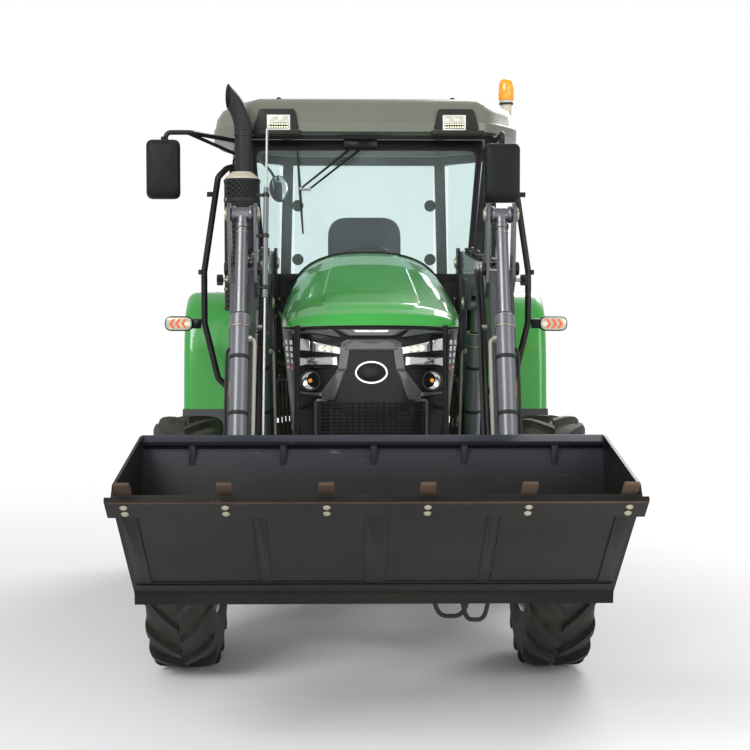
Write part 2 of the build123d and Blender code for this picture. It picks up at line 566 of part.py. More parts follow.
def roof():
    """Hollow cap over the cab, wide at the doors and narrow at its front."""
    f, r = ROOF_FRONT_Y, ROOF_REAR_Y
    plan = [(-ROOF_FRONT_HALF_X, f), (ROOF_FRONT_HALF_X, f), (ROOF_HALF_X - 30, f + 330),
            (ROOF_HALF_X, f + 700), (ROOF_HALF_X - 40, f + 1050), (640, r), (-640, r),
            (-ROOF_HALF_X + 40, f + 1050), (-ROOF_HALF_X, f + 700), (-ROOF_HALF_X + 30, f + 330)]
    body = plan_cut(plan, ROOF_Z0, ROOF_Z1, 60)
    side = side_cut([(f, ROOF_Z0), (f + 12, ROOF_Z0 + 110), (f + 90, ROOF_Z1 - 12), (f + 300, ROOF_Z1),
                     (r - 300, ROOF_Z1 - 10), (r - 60, ROOF_Z1 - 50), (r, ROOF_Z0 + 30), (r, ROOF_Z0)],
                    -900, 900)
    front = front_cut([(-ROOF_HALF_X, ROOF_Z0), (ROOF_HALF_X, ROOF_Z0), (ROOF_HALF_X, ROOF_Z0 + 70),
                       (ROOF_HALF_X - 90, ROOF_Z0 + 150), (ROOF_FRONT_HALF_X - 60, ROOF_Z1),
                       (-ROOF_FRONT_HALF_X + 60, ROOF_Z1), (-ROOF_HALF_X + 90, ROOF_Z0 + 150),
                       (-ROOF_HALF_X, ROOF_Z0 + 70)], f - 20, r + 20)
    pockets = both(block(370, 524, f - 20, f + 60, ROOF_Z0 - 5, ROOF_Z0 + 100))
    inside = block(-ROOF_FRONT_HALF_X + 60, ROOF_FRONT_HALF_X - 60, f + 150, r - 180, ROOF_Z0 - 1,
                   ROOF_Z0 + 110)
    return (body & side & front) - pockets - inside


# ---------------------------------------------------------------- cab fittings
def seat():
    """Suspension seat: base, cushion and back, as one soft solid."""
    base = block(-170, 170, 1800, 2130, 1290 + SEAT_GAP, 1440)
    cushion = block(-235, 235, 1700, 2180, 1440, 1560)
    back = side_cut([(2070, 1560), (2190, 1560), (2240, 2100), (2150, 2100)], -215, 215)
    return base + cushion + back


def console():
    """Dash cowl and the steering column."""
    dash = side_cut([(CAB_FRONT_Y + 55, 1530), (1330, 1530), (1330, 1640), (1250, 1750),
                     (CAB_FRONT_Y + 55, 1760)], -240, 240)
    foot = block(-200, 200, CAB_FRONT_Y + 135, CAB_FRONT_Y + 200, CAB_FLOOR_Z + SEAT_GAP, 1530)
    return dash + foot + bar((0, 1300, 1650), (0, 1430, 1745), 32)


def steering_wheel():
    """Rim, three spokes and hub, on the column's end."""
    hub = Vector(*put(0, 1430 + SEAT_GAP, 1745 + SEAT_GAP))
    plane = Plane(origin=hub, x_dir=(1, 0, 0), z_dir=(0, 130, 95))
    ring = plane * Torus(190, 14)
    spokes = plane * extrude(Circle(45), amount=24)
    for angle in (90, 210, 330):
        spokes += plane * (Rot(0, 0, angle) * Pos(95, 0, 4) * Box(190, 26, 8))
    return ring + spokes


def around_tyre(offsets):
    """Side-view places from offsets off the rear hub, which grow with the rear tyre."""
    grow = REAR_TYRE_D / ARCH_FOR_D
    return [(WHEELBASE + y * grow, REAR_HUB_Z + z * grow) for y, z in offsets]


def fenders():
    """Arched cover over each rear wheel with its inner wall and outer lip."""
    out_x, t, top = FENDER_OUT_X, FENDER_WALL, FENDER_TOP_Z
    outer = around_tyre([(-755, 292.5), (-700, 712.5), (-640, 832.5), (-520, 907.5)]) + [
        (WHEELBASE - 400, top), (WHEELBASE + 360, top)] + around_tyre(
        [(560, 887.5), (700, 792.5), (790, 642.5), (820, 442.5)])
    inner = around_tyre([(-755 + t, 292.5), (-700 + t, 712.5), (-640 + t, 827.5), (-515, 907.5 - t)]) + [
        (WHEELBASE - 400, top - t), (WHEELBASE + 360, top - t)] + around_tyre(
        [(555, 887.5 - t), (693, 790.5 - t), (790 - t, 640.5), (820 - t, 442.5)])
    lip_in = around_tyre([(-705, 292.5), (-650, 702.5), (-580, 792.5), (-480, 852.5)]) + [
        (WHEELBASE - 400, top - 60), (WHEELBASE + 360, top - 60)] + around_tyre(
        [(520, 837.5), (650, 752.5), (730, 632.5), (760, 442.5)])
    foot = around_tyre([(400, 262.5), (-755, 262.5)])
    arch = side_cut(outer + inner[::-1], FENDER_IN_X, out_x)
    lip = side_cut(outer + lip_in[::-1], out_x - t, out_x)
    wall = side_cut(outer + foot, FENDER_IN_X, FENDER_IN_X + t)
    return both(arch + lip + wall)


def fender_skirts():
    """Dark flap below each fender's front edge."""
    top_front, top_back = around_tyre([(-755, 292.5), (-740, 292.5)])
    low_back, low_front = around_tyre([(-770, 192.5), (-785, 192.5)])
    top_front, top_back = (top_front[0], top_front[1] - SEAT_GAP), (top_back[0], top_back[1] - SEAT_GAP)
    flap = side_cut([top_front, top_back, low_back, low_front], 620, FENDER_OUT_X)
    return both(flap)


MUFFLER_X, MUFFLER_Y, MUFFLER_R = -629.0, 1000.0, 94.0
MUFFLER_Z0, MUFFLER_Z1 = 1560.0, 2234.0
PIPE_R = 44.0


def muffler():
    """Shielded can on the right, with its inlet pipe down to the engine."""
    can = bar((MUFFLER_X, MUFFLER_Y, MUFFLER_Z0), (MUFFLER_X, MUFFLER_Y, MUFFLER_Z1), MUFFLER_R)
    low = tube([(MUFFLER_X, MUFFLER_Y, MUFFLER_Z0 + 10), (MUFFLER_X, MUFFLER_Y, 1420),
                (-ENGINE_HALF_X - 180, MUFFLER_Y, 1300)], 36, 60)
    stay = block(MUFFLER_X + 40, -CAB_LOW_HALF_X - 2, MUFFLER_Y + 60, CAB_FRONT_Y - SEAT_GAP, 1620, 1660)
    cap = bar((MUFFLER_X, MUFFLER_Y, MUFFLER_Z1), (MUFFLER_X, MUFFLER_Y, MUFFLER_Z1 + 22), 70)
    return can + low + stay + cap


def exhaust_pipe():
    """Upright pipe that bends out to a slanting mouth."""
    x, y = MUFFLER_X + 8, MUFFLER_Y
    z0 = MUFFLER_Z1 + 22 + SEAT_GAP
    pipe = tube([(x, y, z0), (x, y, 2545), (x - 75, y, 2690)], PIPE_R, 90)
    hollow = bar((x - 30, y, 2590), (x - 90, y, 2720), PIPE_R - 5)
    cut = block(x - 200, x + 100, y - 80, y + 80, 2668, 2800)
    return pipe - cut - hollow


MIRROR_Y = 800.0


def mirror_arms():
    """Triangular tube arm on the right, short folded arm on the left."""
    right = tube([(-PILLAR_TOP_X - 36, 1222, 2440), (-870, MIRROR_Y + 40, 2440),
                  (-990, MIRROR_Y + 40, 2440),
                  (-1000, MIRROR_Y + 40, 2300)], 12, 25)
    right += bar((-PILLAR_TOP_X - 36, 1222, 2372), (-880, MIRROR_Y + 40, 2436), 9)
    left = tube([(PILLAR_TOP_X + 36, 1222, 2440), (PILLAR_TOP_X + 30, MIRROR_Y + 40, 2440),
                 (PILLAR_TOP_X + 30, MIRROR_Y + 40, 2300)], 12, 25)
    pads = Part()
    for sign in (1, -1):
        pads += block(sign * (PILLAR_TOP_X + 22 + SEAT_GAP), sign * (PILLAR_TOP_X + 40), 1210,
                      SCREEN_TOP_Y - 1, 2352, ROOF_Z0 - 8)
    return right + left + pads


def mirrors():
    """Two mirror housings with rounded corners."""
    def housing(x0, x1, z0, z1):
        shape = front_cut([(x0, z0), (x1, z0), (x1, z1), (x0, z1)], MIRROR_Y - 42,
                          MIRROR_Y + 28 - SEAT_GAP, 34)
        return shape
    return (housing(-1086, -916, 2108, 2420)
            + housing(574, 756, 2092, 2405))


RAIL_Y, RAIL_R = 1062.0, 16.0


def grab_rails(frame):
    """Bent tube up each front corner of the cab, cut to lie on it, with two small tabs."""
    rail = tube([(PILLAR_LOW_X, RAIL_Y + 64, 1150), (690, RAIL_Y, 1150), (760, RAIL_Y, 1215),
                 (828, RAIL_Y, 1500),
                 (828, RAIL_Y, 1760), (755, RAIL_Y, 2240), (710, RAIL_Y + 30, 2290),
                 (PILLAR_TOP_X - 6, 1215, 2290)], RAIL_R, 40)
    tabs = block(822, 858, RAIL_Y - 4, RAIL_Y + 4, 1745, 1770) + block(776, 812, RAIL_Y - 4, RAIL_Y + 4,
                                                                       2140, 2165)
    return both(rail + tabs) - frame


LAMP_X, LAMP_Z, LAMP_HALF_X = 958.0, 1495.0, 72.0


def cab_lamps(covers):
    """Turn lamps on the rails, work lamps in the roof, tail lamps on the fenders."""
    stalk = block(828 + RAIL_R + SEAT_GAP / 2, LAMP_X - LAMP_HALF_X + 6, RAIL_Y - 8, RAIL_Y + 12,
                  LAMP_Z - 32, LAMP_Z + 32)
    lens = front_cut([(LAMP_X - LAMP_HALF_X, LAMP_Z - 38), (LAMP_X + LAMP_HALF_X, LAMP_Z - 38),
                      (LAMP_X + LAMP_HALF_X, LAMP_Z + 38), (LAMP_X - LAMP_HALF_X, LAMP_Z + 38)],
                     RAIL_Y - 22, RAIL_Y + 34, 30)
    work = block(380, 514, ROOF_FRONT_Y - 6, ROOF_FRONT_Y + 60 - SEAT_GAP, ROOF_Z0 + 2, ROOF_Z0 + 95)
    tail_y, tail_z = around_tyre([(790, 452.5)])[0]
    tail = block(760, 900, tail_y, tail_y + 60, tail_z, tail_z + 100)
    return both(stalk + lens + work) + (both(tail) - covers)


def beacon(roof_shape):
    """Amber dome on its base at the roof's left rear corner."""
    x, y, dome_z = ROOF_HALF_X - 40, ROOF_FRONT_Y + 840, ROOF_Z1 + 86
    base = bar((x, y, ROOF_Z0 + 40), (x, y, dome_z), 38)
    dome = bar((x, y, dome_z), (x, y, dome_z + 127), 45)
    return base + dome - roof_shape


# ---------------------------------------------------------------- loader
def arm_box(half_w):
    """Left loader arm: level beam to the knee, then the tapered leg to the foot."""
    p, k, f = BOOM_PIVOT, KNEE, FOOT
    tail, knee, foot = ARM_DEPTH_TAIL / 2, ARM_DEPTH_KNEE / 2, ARM_DEPTH_FOOT / 2
    leg = math.atan2(k[0] - f[0], k[1] - f[1])
    across = (math.cos(leg), -math.sin(leg))
    points = [(p[0], p[1] + tail), (k[0] + 40, k[1] + knee), (k[0] - 25, k[1] + knee * 0.9),
              (k[0] - knee * 1.05, k[1] + 15), (f[0] - foot * across[0], f[1] - foot * across[1]),
              (f[0] + foot * across[0], f[1] + foot * across[1]),
              (k[0] + knee * 1.05, k[1] - knee * 1.1), (p[0], p[1] - tail)]
    beam = side_cut(points, ARM_X - half_w, ARM_X + half_w)
    return beam + pin(p, ARM_X - half_w, ARM_X + half_w, ARM_DEPTH_TAIL / 2)


def ear(points, x, inner_half):
    """Two plates, each EAR_T thick, on both sides of a plane at x."""
    inner = side_cut(points, x - inner_half - EAR_T, x - inner_half)
    outer = side_cut(points, x + inner_half, x + inner_half + EAR_T)
    return inner + outer


def boom():
    """Both arms, their cross tube, and the ears for the pins at each end."""
    half = ARM_W / 2
    side = arm_box(half)
    b, f = BUCKET_PIN, FOOT
    hook = side_cut([(f[0] + 34, f[1] + 30), (f[0] - 34, f[1] + 40), (b[0] - 6, b[1] + 44),
                     (b[0] + 38, b[1] - 24)], ARM_X - half, ARM_X + half)
    side += hook + pin(b, ARM_X - half, ARM_X + half, 44)
    t = DUMP_EYE
    plates = [(t[0] - 40, t[1] + 24), (t[0] - 18, t[1] + 44), (t[0] + 18, t[1] + 44),
              (t[0] + 40, t[1] + 24),
              (KNEE[0] + 95, KNEE[1] - 10), (KNEE[0] + 40, KNEE[1] - 40), (KNEE[0] - 30, KNEE[1] + 20)]
    side += ear(plates, ARM_X, half)
    e = LIFT_EYE
    under = [(e[0] - 170, e[1] + 110), (e[0] + 170, e[1] + 130), (e[0] + 45, e[1] - 26),
             (e[0] - 42, e[1] - 30)]
    side += ear(under, ARM_X, EYE_W / 2 + SIDE_PLAY)
    cross_at = between(FOOT, KNEE, 0.29)
    tube_piece = pin(cross_at, -ARM_X, ARM_X, 48)
    return both(side) + tube_piece - pin(BOOM_PIVOT, -700, 700, PIN_R + RUN_GAP) - pin(b, -700, 700,
                                                                                       PIN_R + RUN_GAP)


def loader_mounts():
    """Mast of each side on its bracket, and the beam under the clutch housing."""
    gap = ARM_W / 2 + SIDE_PLAY
    p, base = BOOM_PIVOT, LIFT_BASE
    plate = [(p[0] - 60, p[1] + 70), (p[0] + 48, p[1] + 76), (p[0] + 62, p[1] - 60),
             (base[0] + 120, 1150), (base[0] + 60, base[1] - 120), (base[0] - 60, base[1] - 100),
             (base[0] - 50, base[1] + 60), (p[0] - 130, 1350)]
    side = ear(plate, ARM_X, gap)
    back = side_cut([(base[0] + 80, 620), (base[0] + 104, 620), (base[0] + 130, 1150), (p[0] + 58, 1600),
                     (p[0] + 46, 1600), (base[0] + 106, 1150)], ARM_X - gap, ARM_X + gap)
    side += back & block(0, 900, 0, 990, 600, 1600)
    side += pin(p, ARM_X - gap - EAR_T, ARM_X + gap + EAR_T, PIN_R)
    side += pin(base, ARM_X - gap - EAR_T, ARM_X + gap + EAR_T, PIN_R)
    beam = block(-ARM_X - gap, ARM_X + gap, base[0] + 20, base[0] + 104, 530, 595)
    shoe = both(block(ENGINE_HALF_X + SEAT_GAP, ARM_X - gap, base[0] + 20, base[0] + 100, 595, 700))
    return both(side) + beam + shoe


def cylinder(base, eye, barrel_r, barrel_l, rod_r, stroke, base_w, eye_w, eye_r):
    """Barrel with its base eye, and the rod with its own; both at rest."""
    x = ARM_X
    length = math.dist(base, eye)
    along = lambda d: (x, *between(base, eye, d / length))
    barrel = bar(along(EYE_R * 0.6), along(barrel_l), barrel_r)
    collar = bar(along(barrel_l - 40), along(barrel_l), barrel_r + 5)
    knob = pin(base, x - base_w / 2, x + base_w / 2, EYE_R) - pin(base, x - 200, x + 200, PIN_R + RUN_GAP)
    barrel = barrel + collar - pin(base, x - 200, x + 200, PIN_R + RUN_GAP) + knob
    barrel -= bar(along(EYE_R * 0.6 + 60), along(length), rod_r + RUN_GAP)
    rod = bar(along(barrel_l - stroke - 60), along(length), rod_r)
    rod += pin(eye, x - eye_w / 2, x + eye_w / 2, eye_r)
    return both(barrel), both(rod)


def bucket_points():
    """The bucket's section as (y, z) places: lip, bend, heel and top of the back."""
    return [(BUCKET_PIN[0] + y, BUCKET_PIN[1] + z) for y, z in (LIP, BEND, HEEL, BACK_TOP)]


def floor_place(down, out):
    """A (y, z) place on the bucket's floor: down from the lip, out from its underside."""
    lip, bend = bucket_points()[:2]
    size = math.dist(lip, bend)
    y, z = (bend[0] - lip[0]) / size, (bend[1] - lip[1]) / size
    return (lip[0] + y * down + z * out, lip[1] + z * down - y * out)


def bucket():
    """Open shell: floor, back, two side plates, cutting edge, top angle and ears."""
    lip, bend, heel, top = bucket_points()
    t, w = BUCKET_WALL, BUCKET_W / 2
    inner = [(lip[0] + 3, lip[1] + t), (bend[0] + 2, bend[1] + t + 4), (bend[0] + 12, bend[1] + 12),
             (top[0] - t, top[1])]
    plates = side_cut([lip, bend, heel, top] + inner[::-1], -w, w)
    cheek = side_cut([lip, bend, heel, top, (top[0] - 60, top[1]), (lip[0] + 30, lip[1] + 40)], w - t, w)
    lip_angle = side_cut([top, (top[0] - t, top[1]), (top[0] - 55, top[1] - 20), (top[0] - 52, top[1] - 32),
                          (top[0] - t, top[1] - 60), (top[0], top[1] - 60)], -w, w)
    edge = side_cut([floor_place(-6, 0), floor_place(EDGE_DEPTH, 0), floor_place(EDGE_DEPTH, EDGE_T),
                     floor_place(-6, EDGE_T)], -EDGE_W / 2, EDGE_W / 2)
    b, d = BUCKET_PIN, DUMP_EAR
    reach = ARM_W / 2 + SIDE_PLAY
    plate = [between(heel, top, 0.06), (b[0] + 20, b[1] - 44), (b[0] + 46, b[1]), (d[0] + 30, d[1] - 12),
             (d[0] + 26, d[1] + 26), between(heel, top, 0.72)]
    ears = ear(plate, ARM_X, reach)
    for place in (b, d):
        ears += pin(place, ARM_X - reach - EAR_T, ARM_X + reach + EAR_T, PIN_R)
    return plates + both(cheek) + lip_angle + edge + both(ears)


def bucket_teeth():
    """Flat teeth on the edge's inner face, each reaching past the lip."""
    low = BUCKET_WALL + SEAT_GAP
    section = [floor_place(-TOOTH_OUT, -low), floor_place(90, -low), floor_place(90, -low - 20),
               floor_place(-TOOTH_OUT, -low - 16)]
    teeth = Part()
    for n in range(TOOTH_N):
        x = (n / (TOOTH_N - 1) - 0.5) * (BUCKET_W - 2 * BUCKET_WALL - TOOTH_W - 8)
        teeth += side_cut(section, x - TOOTH_W / 2, x + TOOTH_W / 2)
    return teeth


# ---------------------------------------------------------------- rear hitch
ROD_TOP, ROD_LOW, LINK_PIVOT = (2745.0, 1025.0), (2700.0, 516.0), (2320.0, 478.0)
LINK_END = (2990.0, 538.0)
HITCH_PIN_R, LINK_PIN_R, LINK_BORE_R = 10.0, 15.0, 14.5


def hitch_arms():
    """Lift arms on their cross shaft over the rear axle."""
    shaft = pin((2420, 1090), -260, 260, 32)
    arm = side_cut([(2400, 1060), (2440, 1060), (2760, 1000), (2760, 1050), (2430, 1125), (2400, 1120)],
                   236, 262)
    return shaft + both(arm - pin(ROD_TOP, 0, HALF_FAR, HITCH_PIN_R + RUN_GAP))


def hitch_case():
    """Hydraulic lift housing on the rear axle's case, with the upper link's bracket."""
    case = block(-200, 200, 2130, AXLE_CASE_Y1, 985 + SEAT_GAP, 1150)
    case -= pin((2420, 1090), -300, 300, 32 + RUN_GAP)
    bracket = both(side_cut([(AXLE_CASE_Y1 + 1, 800), (2520, 800), (2520, 900), (AXLE_CASE_Y1 + 1, 960)],
                            26, 40))
    plate = block(-90, 90, AXLE_CASE_Y1 + SEAT_GAP, AXLE_CASE_Y1 + 16, 760, 975)
    return case, bracket + plate - pin((2492, 850), -80, 80, 13)


def lower_links():
    """Two lower links with their ball ends."""
    link = side_cut([(2330, 455), (2330, 500), (2980, 560), (2980, 515)], 320, 348)
    link += pin(LINK_END, 318, 350, 36) + pin(LINK_PIVOT, 318, 350, 30)
    link += pin(LINK_PIVOT, 270, 350, LINK_PIN_R)
    return both(link - pin(LINK_END, 300, 380, LINK_BORE_R))


def hitch_rods():
    """Uprights between the lift arms and the lower links, set clear of both."""
    rod = bar((278, *ROD_TOP), (304, *ROD_LOW), 13)
    rod += pin(ROD_TOP, 265, 288, 26) + pin(ROD_LOW, 292, 316, 26)
    return both(rod + pin(ROD_TOP, 234, 270, HITCH_PIN_R))


def drawbar():
    """Flat drawbar under the rear axle with its pin hole."""
    bar_piece = block(-40, 40, 2050, 2720, 400, 432)
    hanger = block(-110, 110, 2380, AXLE_CASE_Y1, 432, GEARBOX_Z0 - SEAT_GAP)
    hole = bar((0, 2670, 380), (0, 2670, 460), 16)
    sockets = both(block(262, 316, 2280, 2360, 440, 520)) + block(-316, 316, 2290, 2350, 455,
                                                                  GEARBOX_Z0 - SEAT_GAP)
    return bar_piece + hanger + sockets - hole - pin(LINK_PIVOT, -HALF_FAR, HALF_FAR, LINK_PIN_R + RUN_GAP)


def pto_shaft():
    return bar((0, AXLE_CASE_Y1 + 20, 660), (0, AXLE_CASE_Y1 + 110, 660), 17.5) \
        + bar((0, AXLE_CASE_Y1 + SEAT_GAP, 660), (0, AXLE_CASE_Y1 + 22, 660), 60)


# ---------------------------------------------------------------- build
def main():
    wheels()
    turning = knuckle()
    for name, sign in SIDES:
        save(f"knuckle_{name}", on_side(turning, sign))
        save(f"door_frame_{name}", on_side(door_frame(), sign))
        save(f"door_glass_{name}", on_side(door_glass(), sign))
    lift_barrels, lift_rods = cylinder(LIFT_BASE, LIFT_EYE, LIFT_BARREL_R, LIFT_BARREL_L,
                                       LIFT_ROD_R, LIFT_STROKE, EYE_W, EYE_W, 34)
    dump_barrels, dump_rods = cylinder(DUMP_EAR, DUMP_EYE, DUMP_BARREL_R, DUMP_BARREL_L,
                                       DUMP_ROD_R, DUMP_STROKE, ARM_W, ARM_W - 4, 27)
    case, link_bracket = hitch_case()
    frame, rails, covers, top = cab_frame(), cab_rails(), fenders(), roof()
    pieces = {
        "front_axle_housing": front_axle_housing(), "front_frame": front_frame(),
        "engine_block": engine_block(), "drivetrain": drivetrain(), "fuel_tank": fuel_tank(),
        "tool_box": tool_box(), "steps": steps(), "hood": hood(), "hood_sides": hood_sides(),
        "nose_mask": nose_mask(), "headlamps": headlamps(), "nose_grille": nose_grille(),
        "front_guard": front_guard(), "cab_floor": cab_floor(), "cab_frame": frame,
        "cab_rails": rails, "windscreen": windscreen(), "cab_glass": cab_glass(), "roof": top, "seat": seat(),
        "console": console(), "steering_wheel": steering_wheel(), "fenders": covers,
        "fender_skirts": fender_skirts(), "muffler": muffler(), "exhaust_pipe": exhaust_pipe(),
        "mirror_arms": mirror_arms(), "mirrors": mirrors(), "grab_rails": grab_rails(frame),
        "cab_lamps": cab_lamps(covers), "beacon": beacon(top), "boom": boom(),
        "loader_mounts": loader_mounts(), "lift_barrels": lift_barrels, "lift_rods": lift_rods,
        "dump_barrels": dump_barrels, "dump_rods": dump_rods, "bucket": bucket(),
        "bucket_teeth": bucket_teeth(), "hitch_arms": hitch_arms(), "hitch_case": case,
        "link_bracket": link_bracket, "lower_links": lower_links(),
        "hitch_rods": hitch_rods(), "drawbar": drawbar(), "pto_shaft": pto_shaft(),
    }
    for node, shape in pieces.items():
        save(node, shape)


main()
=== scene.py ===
"""Farm tractor with a cab and a front loader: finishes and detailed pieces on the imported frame."""
import sys

import json
import logging
import math
from dataclasses import dataclass, field
from enum import Enum
from typing import Iterable, Optional, Sequence, Union

import bpy
import numpy as np
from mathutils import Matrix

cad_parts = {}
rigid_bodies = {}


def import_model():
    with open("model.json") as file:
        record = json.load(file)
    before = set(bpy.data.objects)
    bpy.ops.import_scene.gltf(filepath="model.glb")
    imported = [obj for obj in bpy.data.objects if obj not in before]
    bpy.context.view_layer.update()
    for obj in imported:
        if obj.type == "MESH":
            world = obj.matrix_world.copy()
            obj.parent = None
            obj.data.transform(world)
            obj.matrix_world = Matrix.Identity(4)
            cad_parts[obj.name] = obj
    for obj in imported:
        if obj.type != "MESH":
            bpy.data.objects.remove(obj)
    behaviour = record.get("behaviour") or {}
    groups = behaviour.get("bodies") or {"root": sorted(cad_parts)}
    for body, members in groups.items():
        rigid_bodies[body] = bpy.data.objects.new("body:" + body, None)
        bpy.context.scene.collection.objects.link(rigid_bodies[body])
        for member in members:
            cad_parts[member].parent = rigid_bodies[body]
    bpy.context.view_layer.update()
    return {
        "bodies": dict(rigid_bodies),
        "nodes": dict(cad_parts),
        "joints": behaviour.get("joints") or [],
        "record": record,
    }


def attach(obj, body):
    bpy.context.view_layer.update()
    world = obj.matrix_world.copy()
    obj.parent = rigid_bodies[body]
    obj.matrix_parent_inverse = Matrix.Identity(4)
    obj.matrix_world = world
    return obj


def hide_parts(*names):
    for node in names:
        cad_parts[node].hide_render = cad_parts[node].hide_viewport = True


LOG = logging.getLogger("tractor")
AXLE_Y = -0.570
"""Place of the front axle along the row's Y; lengths below are measured back from it."""

Vec = Sequence[float]
Number = Union[float, "Value"]


class Side(Enum):
    """The tractor's own sides, as the sign of X."""

    LEFT = 1
    RIGHT = -1

    @property
    def word(self) -> str:
        """Lower-case name used in the nodes' names."""
        return self.name.lower()


# ------------------------------------------------------------------ geometry
def row(x: float, y: float, z: float) -> np.ndarray:
    """A place behind the front axle, in the row's frame."""
    return np.array([x, AXLE_Y + y, z], float)


def unit(v: Vec) -> np.ndarray:
    """The direction of v."""
    v = np.asarray(v, float)
    return v / np.linalg.norm(v)


@dataclass(frozen=True)
class Frame:
    """A local set of axes: an origin, an across direction u, an up direction v and a normal w.

    Args:
        origin: place in the row's frame.
        u: first direction of a drawing.
        v: second direction of a drawing.
    """

    origin: Vec
    u: Vec
    v: Vec

    def place(self, points: np.ndarray, height: Union[float, np.ndarray] = 0.0) -> np.ndarray:
        """Drawing points (..., 2) raised by height along the normal, as places (..., 3).

        Args:
            points: drawing points (..., 2).
            height: lift along the normal, one value or one per point.

        Returns:
            The places.
        """
        u, v = unit(self.u), unit(self.v)
        lift = np.asarray(height, float)[..., None] * np.cross(u, v)
        return np.asarray(self.origin, float) + points[..., :1] * u + points[..., 1:2] * v + lift


def flat(origin: Vec, facing: str) -> Frame:
    """A frame whose normal points forward, back, up, down, or to the left or right.

    Args:
        origin: place in the row's frame.
        facing: one of "front", "back", "up", "down", "left", "right".

    Returns:
        The frame.
    """
    axes = {"front": ((1, 0, 0), (0, 0, 1)), "back": ((-1, 0, 0), (0, 0, 1)), "up": ((1, 0, 0), (0, 1, 0)),
        "down": ((-1, 0, 0), (0, 1, 0)), "left": ((0, 1, 0), (0, 0, 1)), "right": ((0, -1, 0), (0, 0, 1))}
    return Frame(origin, *axes[facing])


def rounded(points: Sequence[Vec], radius: Union[float, Sequence[float]], steps: int = 5) -> np.ndarray:
    """A closed outline whose corners are replaced by parabolic arcs between their two edges.

    Args:
        points: corners in order.
        radius: how far along each edge an arc starts, one value or one per corner.
        steps: points per arc.

    Returns:
        Points (n, 2).
    """
    p = np.asarray(points, float)
    r = np.broadcast_to(np.asarray(radius, float), (len(p),))[:, None]
    to_next, to_last = np.roll(p, -1, 0) - p, np.roll(p, 1, 0) - p
    reach = lambda d: d * np.minimum(r / np.maximum(np.linalg.norm(d, axis=1, keepdims=True), 1e-9), 0.49)
    start, end = (p + reach(to_last))[:, None], (p + reach(to_next))[:, None]
    t = np.linspace(0, 1, steps)[None, :, None]
    return ((1 - t) ** 2 * start + 2 * t * (1 - t) * p[:, None] + t ** 2 * end).reshape(-1, 2)


def box_outline(width: float, height: float, radius: float, steps: int = 5) -> np.ndarray:
    """A rounded rectangle round the drawing's origin."""
    w, h = width / 2, height / 2
    return rounded([(-w, -h), (w, -h), (w, h), (-w, h)], radius, steps)


def disc_outline(radius: float, steps: int = 28) -> np.ndarray:
    """A circle round the drawing's origin; with 6 steps it is a nut."""
    a = np.arange(steps) * 2 * math.pi / steps
    return np.stack([np.cos(a), np.sin(a)], 1) * radius


def grown(outline: np.ndarray, amount: Union[float, np.ndarray]) -> np.ndarray:
    """The outline moved outwards along its mitred corner normals by each amount: (k, n, 2).

    Args:
        outline: closed outline, points (n, 2).
        amount: how far outwards, one value or several.

    Returns:
        Outlines (k, n, 2).
    """
    edge = np.roll(outline, -1, 0) - outline
    edge = edge / np.maximum(np.linalg.norm(edge, axis=1, keepdims=True), 1e-12)
    out = np.stack([edge[:, 1], -edge[:, 0]], 1)
    area = np.sum(outline[:, 0] * np.roll(outline[:, 1], -1) - np.roll(outline[:, 0], -1) * outline[:, 1])
    before = np.roll(out, 1, 0)
    mitre = (out + before) / np.maximum(1 + np.sum(out * before, 1, keepdims=True), 0.35)
    return outline[None] + np.atleast_1d(amount)[:, None, None] * mitre[None] * np.sign(area)


def smooth_path(points: Sequence[Vec], per_run: int = 8) -> np.ndarray:
    """A Catmull-Rom path through the points: a cubic per run whose end slopes are half the chord
    between the run's neighbours.

    Args:
        points: places, one row each.
        per_run: points per run.

    Returns:
        The places.
    """
    p = np.asarray(points, float)
    q = np.vstack([2 * p[0] - p[1], p, 2 * p[-1] - p[-2]])
    a, b, c, d = q[:-3, None], q[1:-2, None], q[2:-1, None], q[3:, None]
    t = np.linspace(0, 1, per_run, endpoint=False)[None, :, None]
    run = 0.5 * (2 * b + (c - a) * t + (2 * a - 5 * b + 4 * c - d) * t ** 2 + (3 * b - a - 3 * c + d)
        * t ** 3)
    return np.vstack([run.reshape(-1, p.shape[1]), p[-1]])


def bent_path(points: Sequence[Vec], radius: float, steps: int = 7) -> np.ndarray:
    """An open path of straight runs whose inner corners are parabolic arcs.

    Args:
        points: places, one row each.
        radius: radius or reach of the rounding.
        steps: points per arc.

    Returns:
        The places.
    """
    p = np.asarray(points, float)
    mid = p[1:-1]
    back, on = p[:-2] - mid, p[2:] - mid
    cut = lambda d: d * np.minimum(radius / np.linalg.norm(d, axis=1, keepdims=True), 0.49)
    t = np.linspace(0, 1, steps)[None, :, None]
    arc = (1 - t) ** 2 * (mid + cut(back))[:, None] + 2 * t * (1 - t) * mid[:, None] + t ** 2 * (mid
        + cut(on))[:, None]
    return np.vstack([p[:1], arc.reshape(-1, 3), p[-1:]])


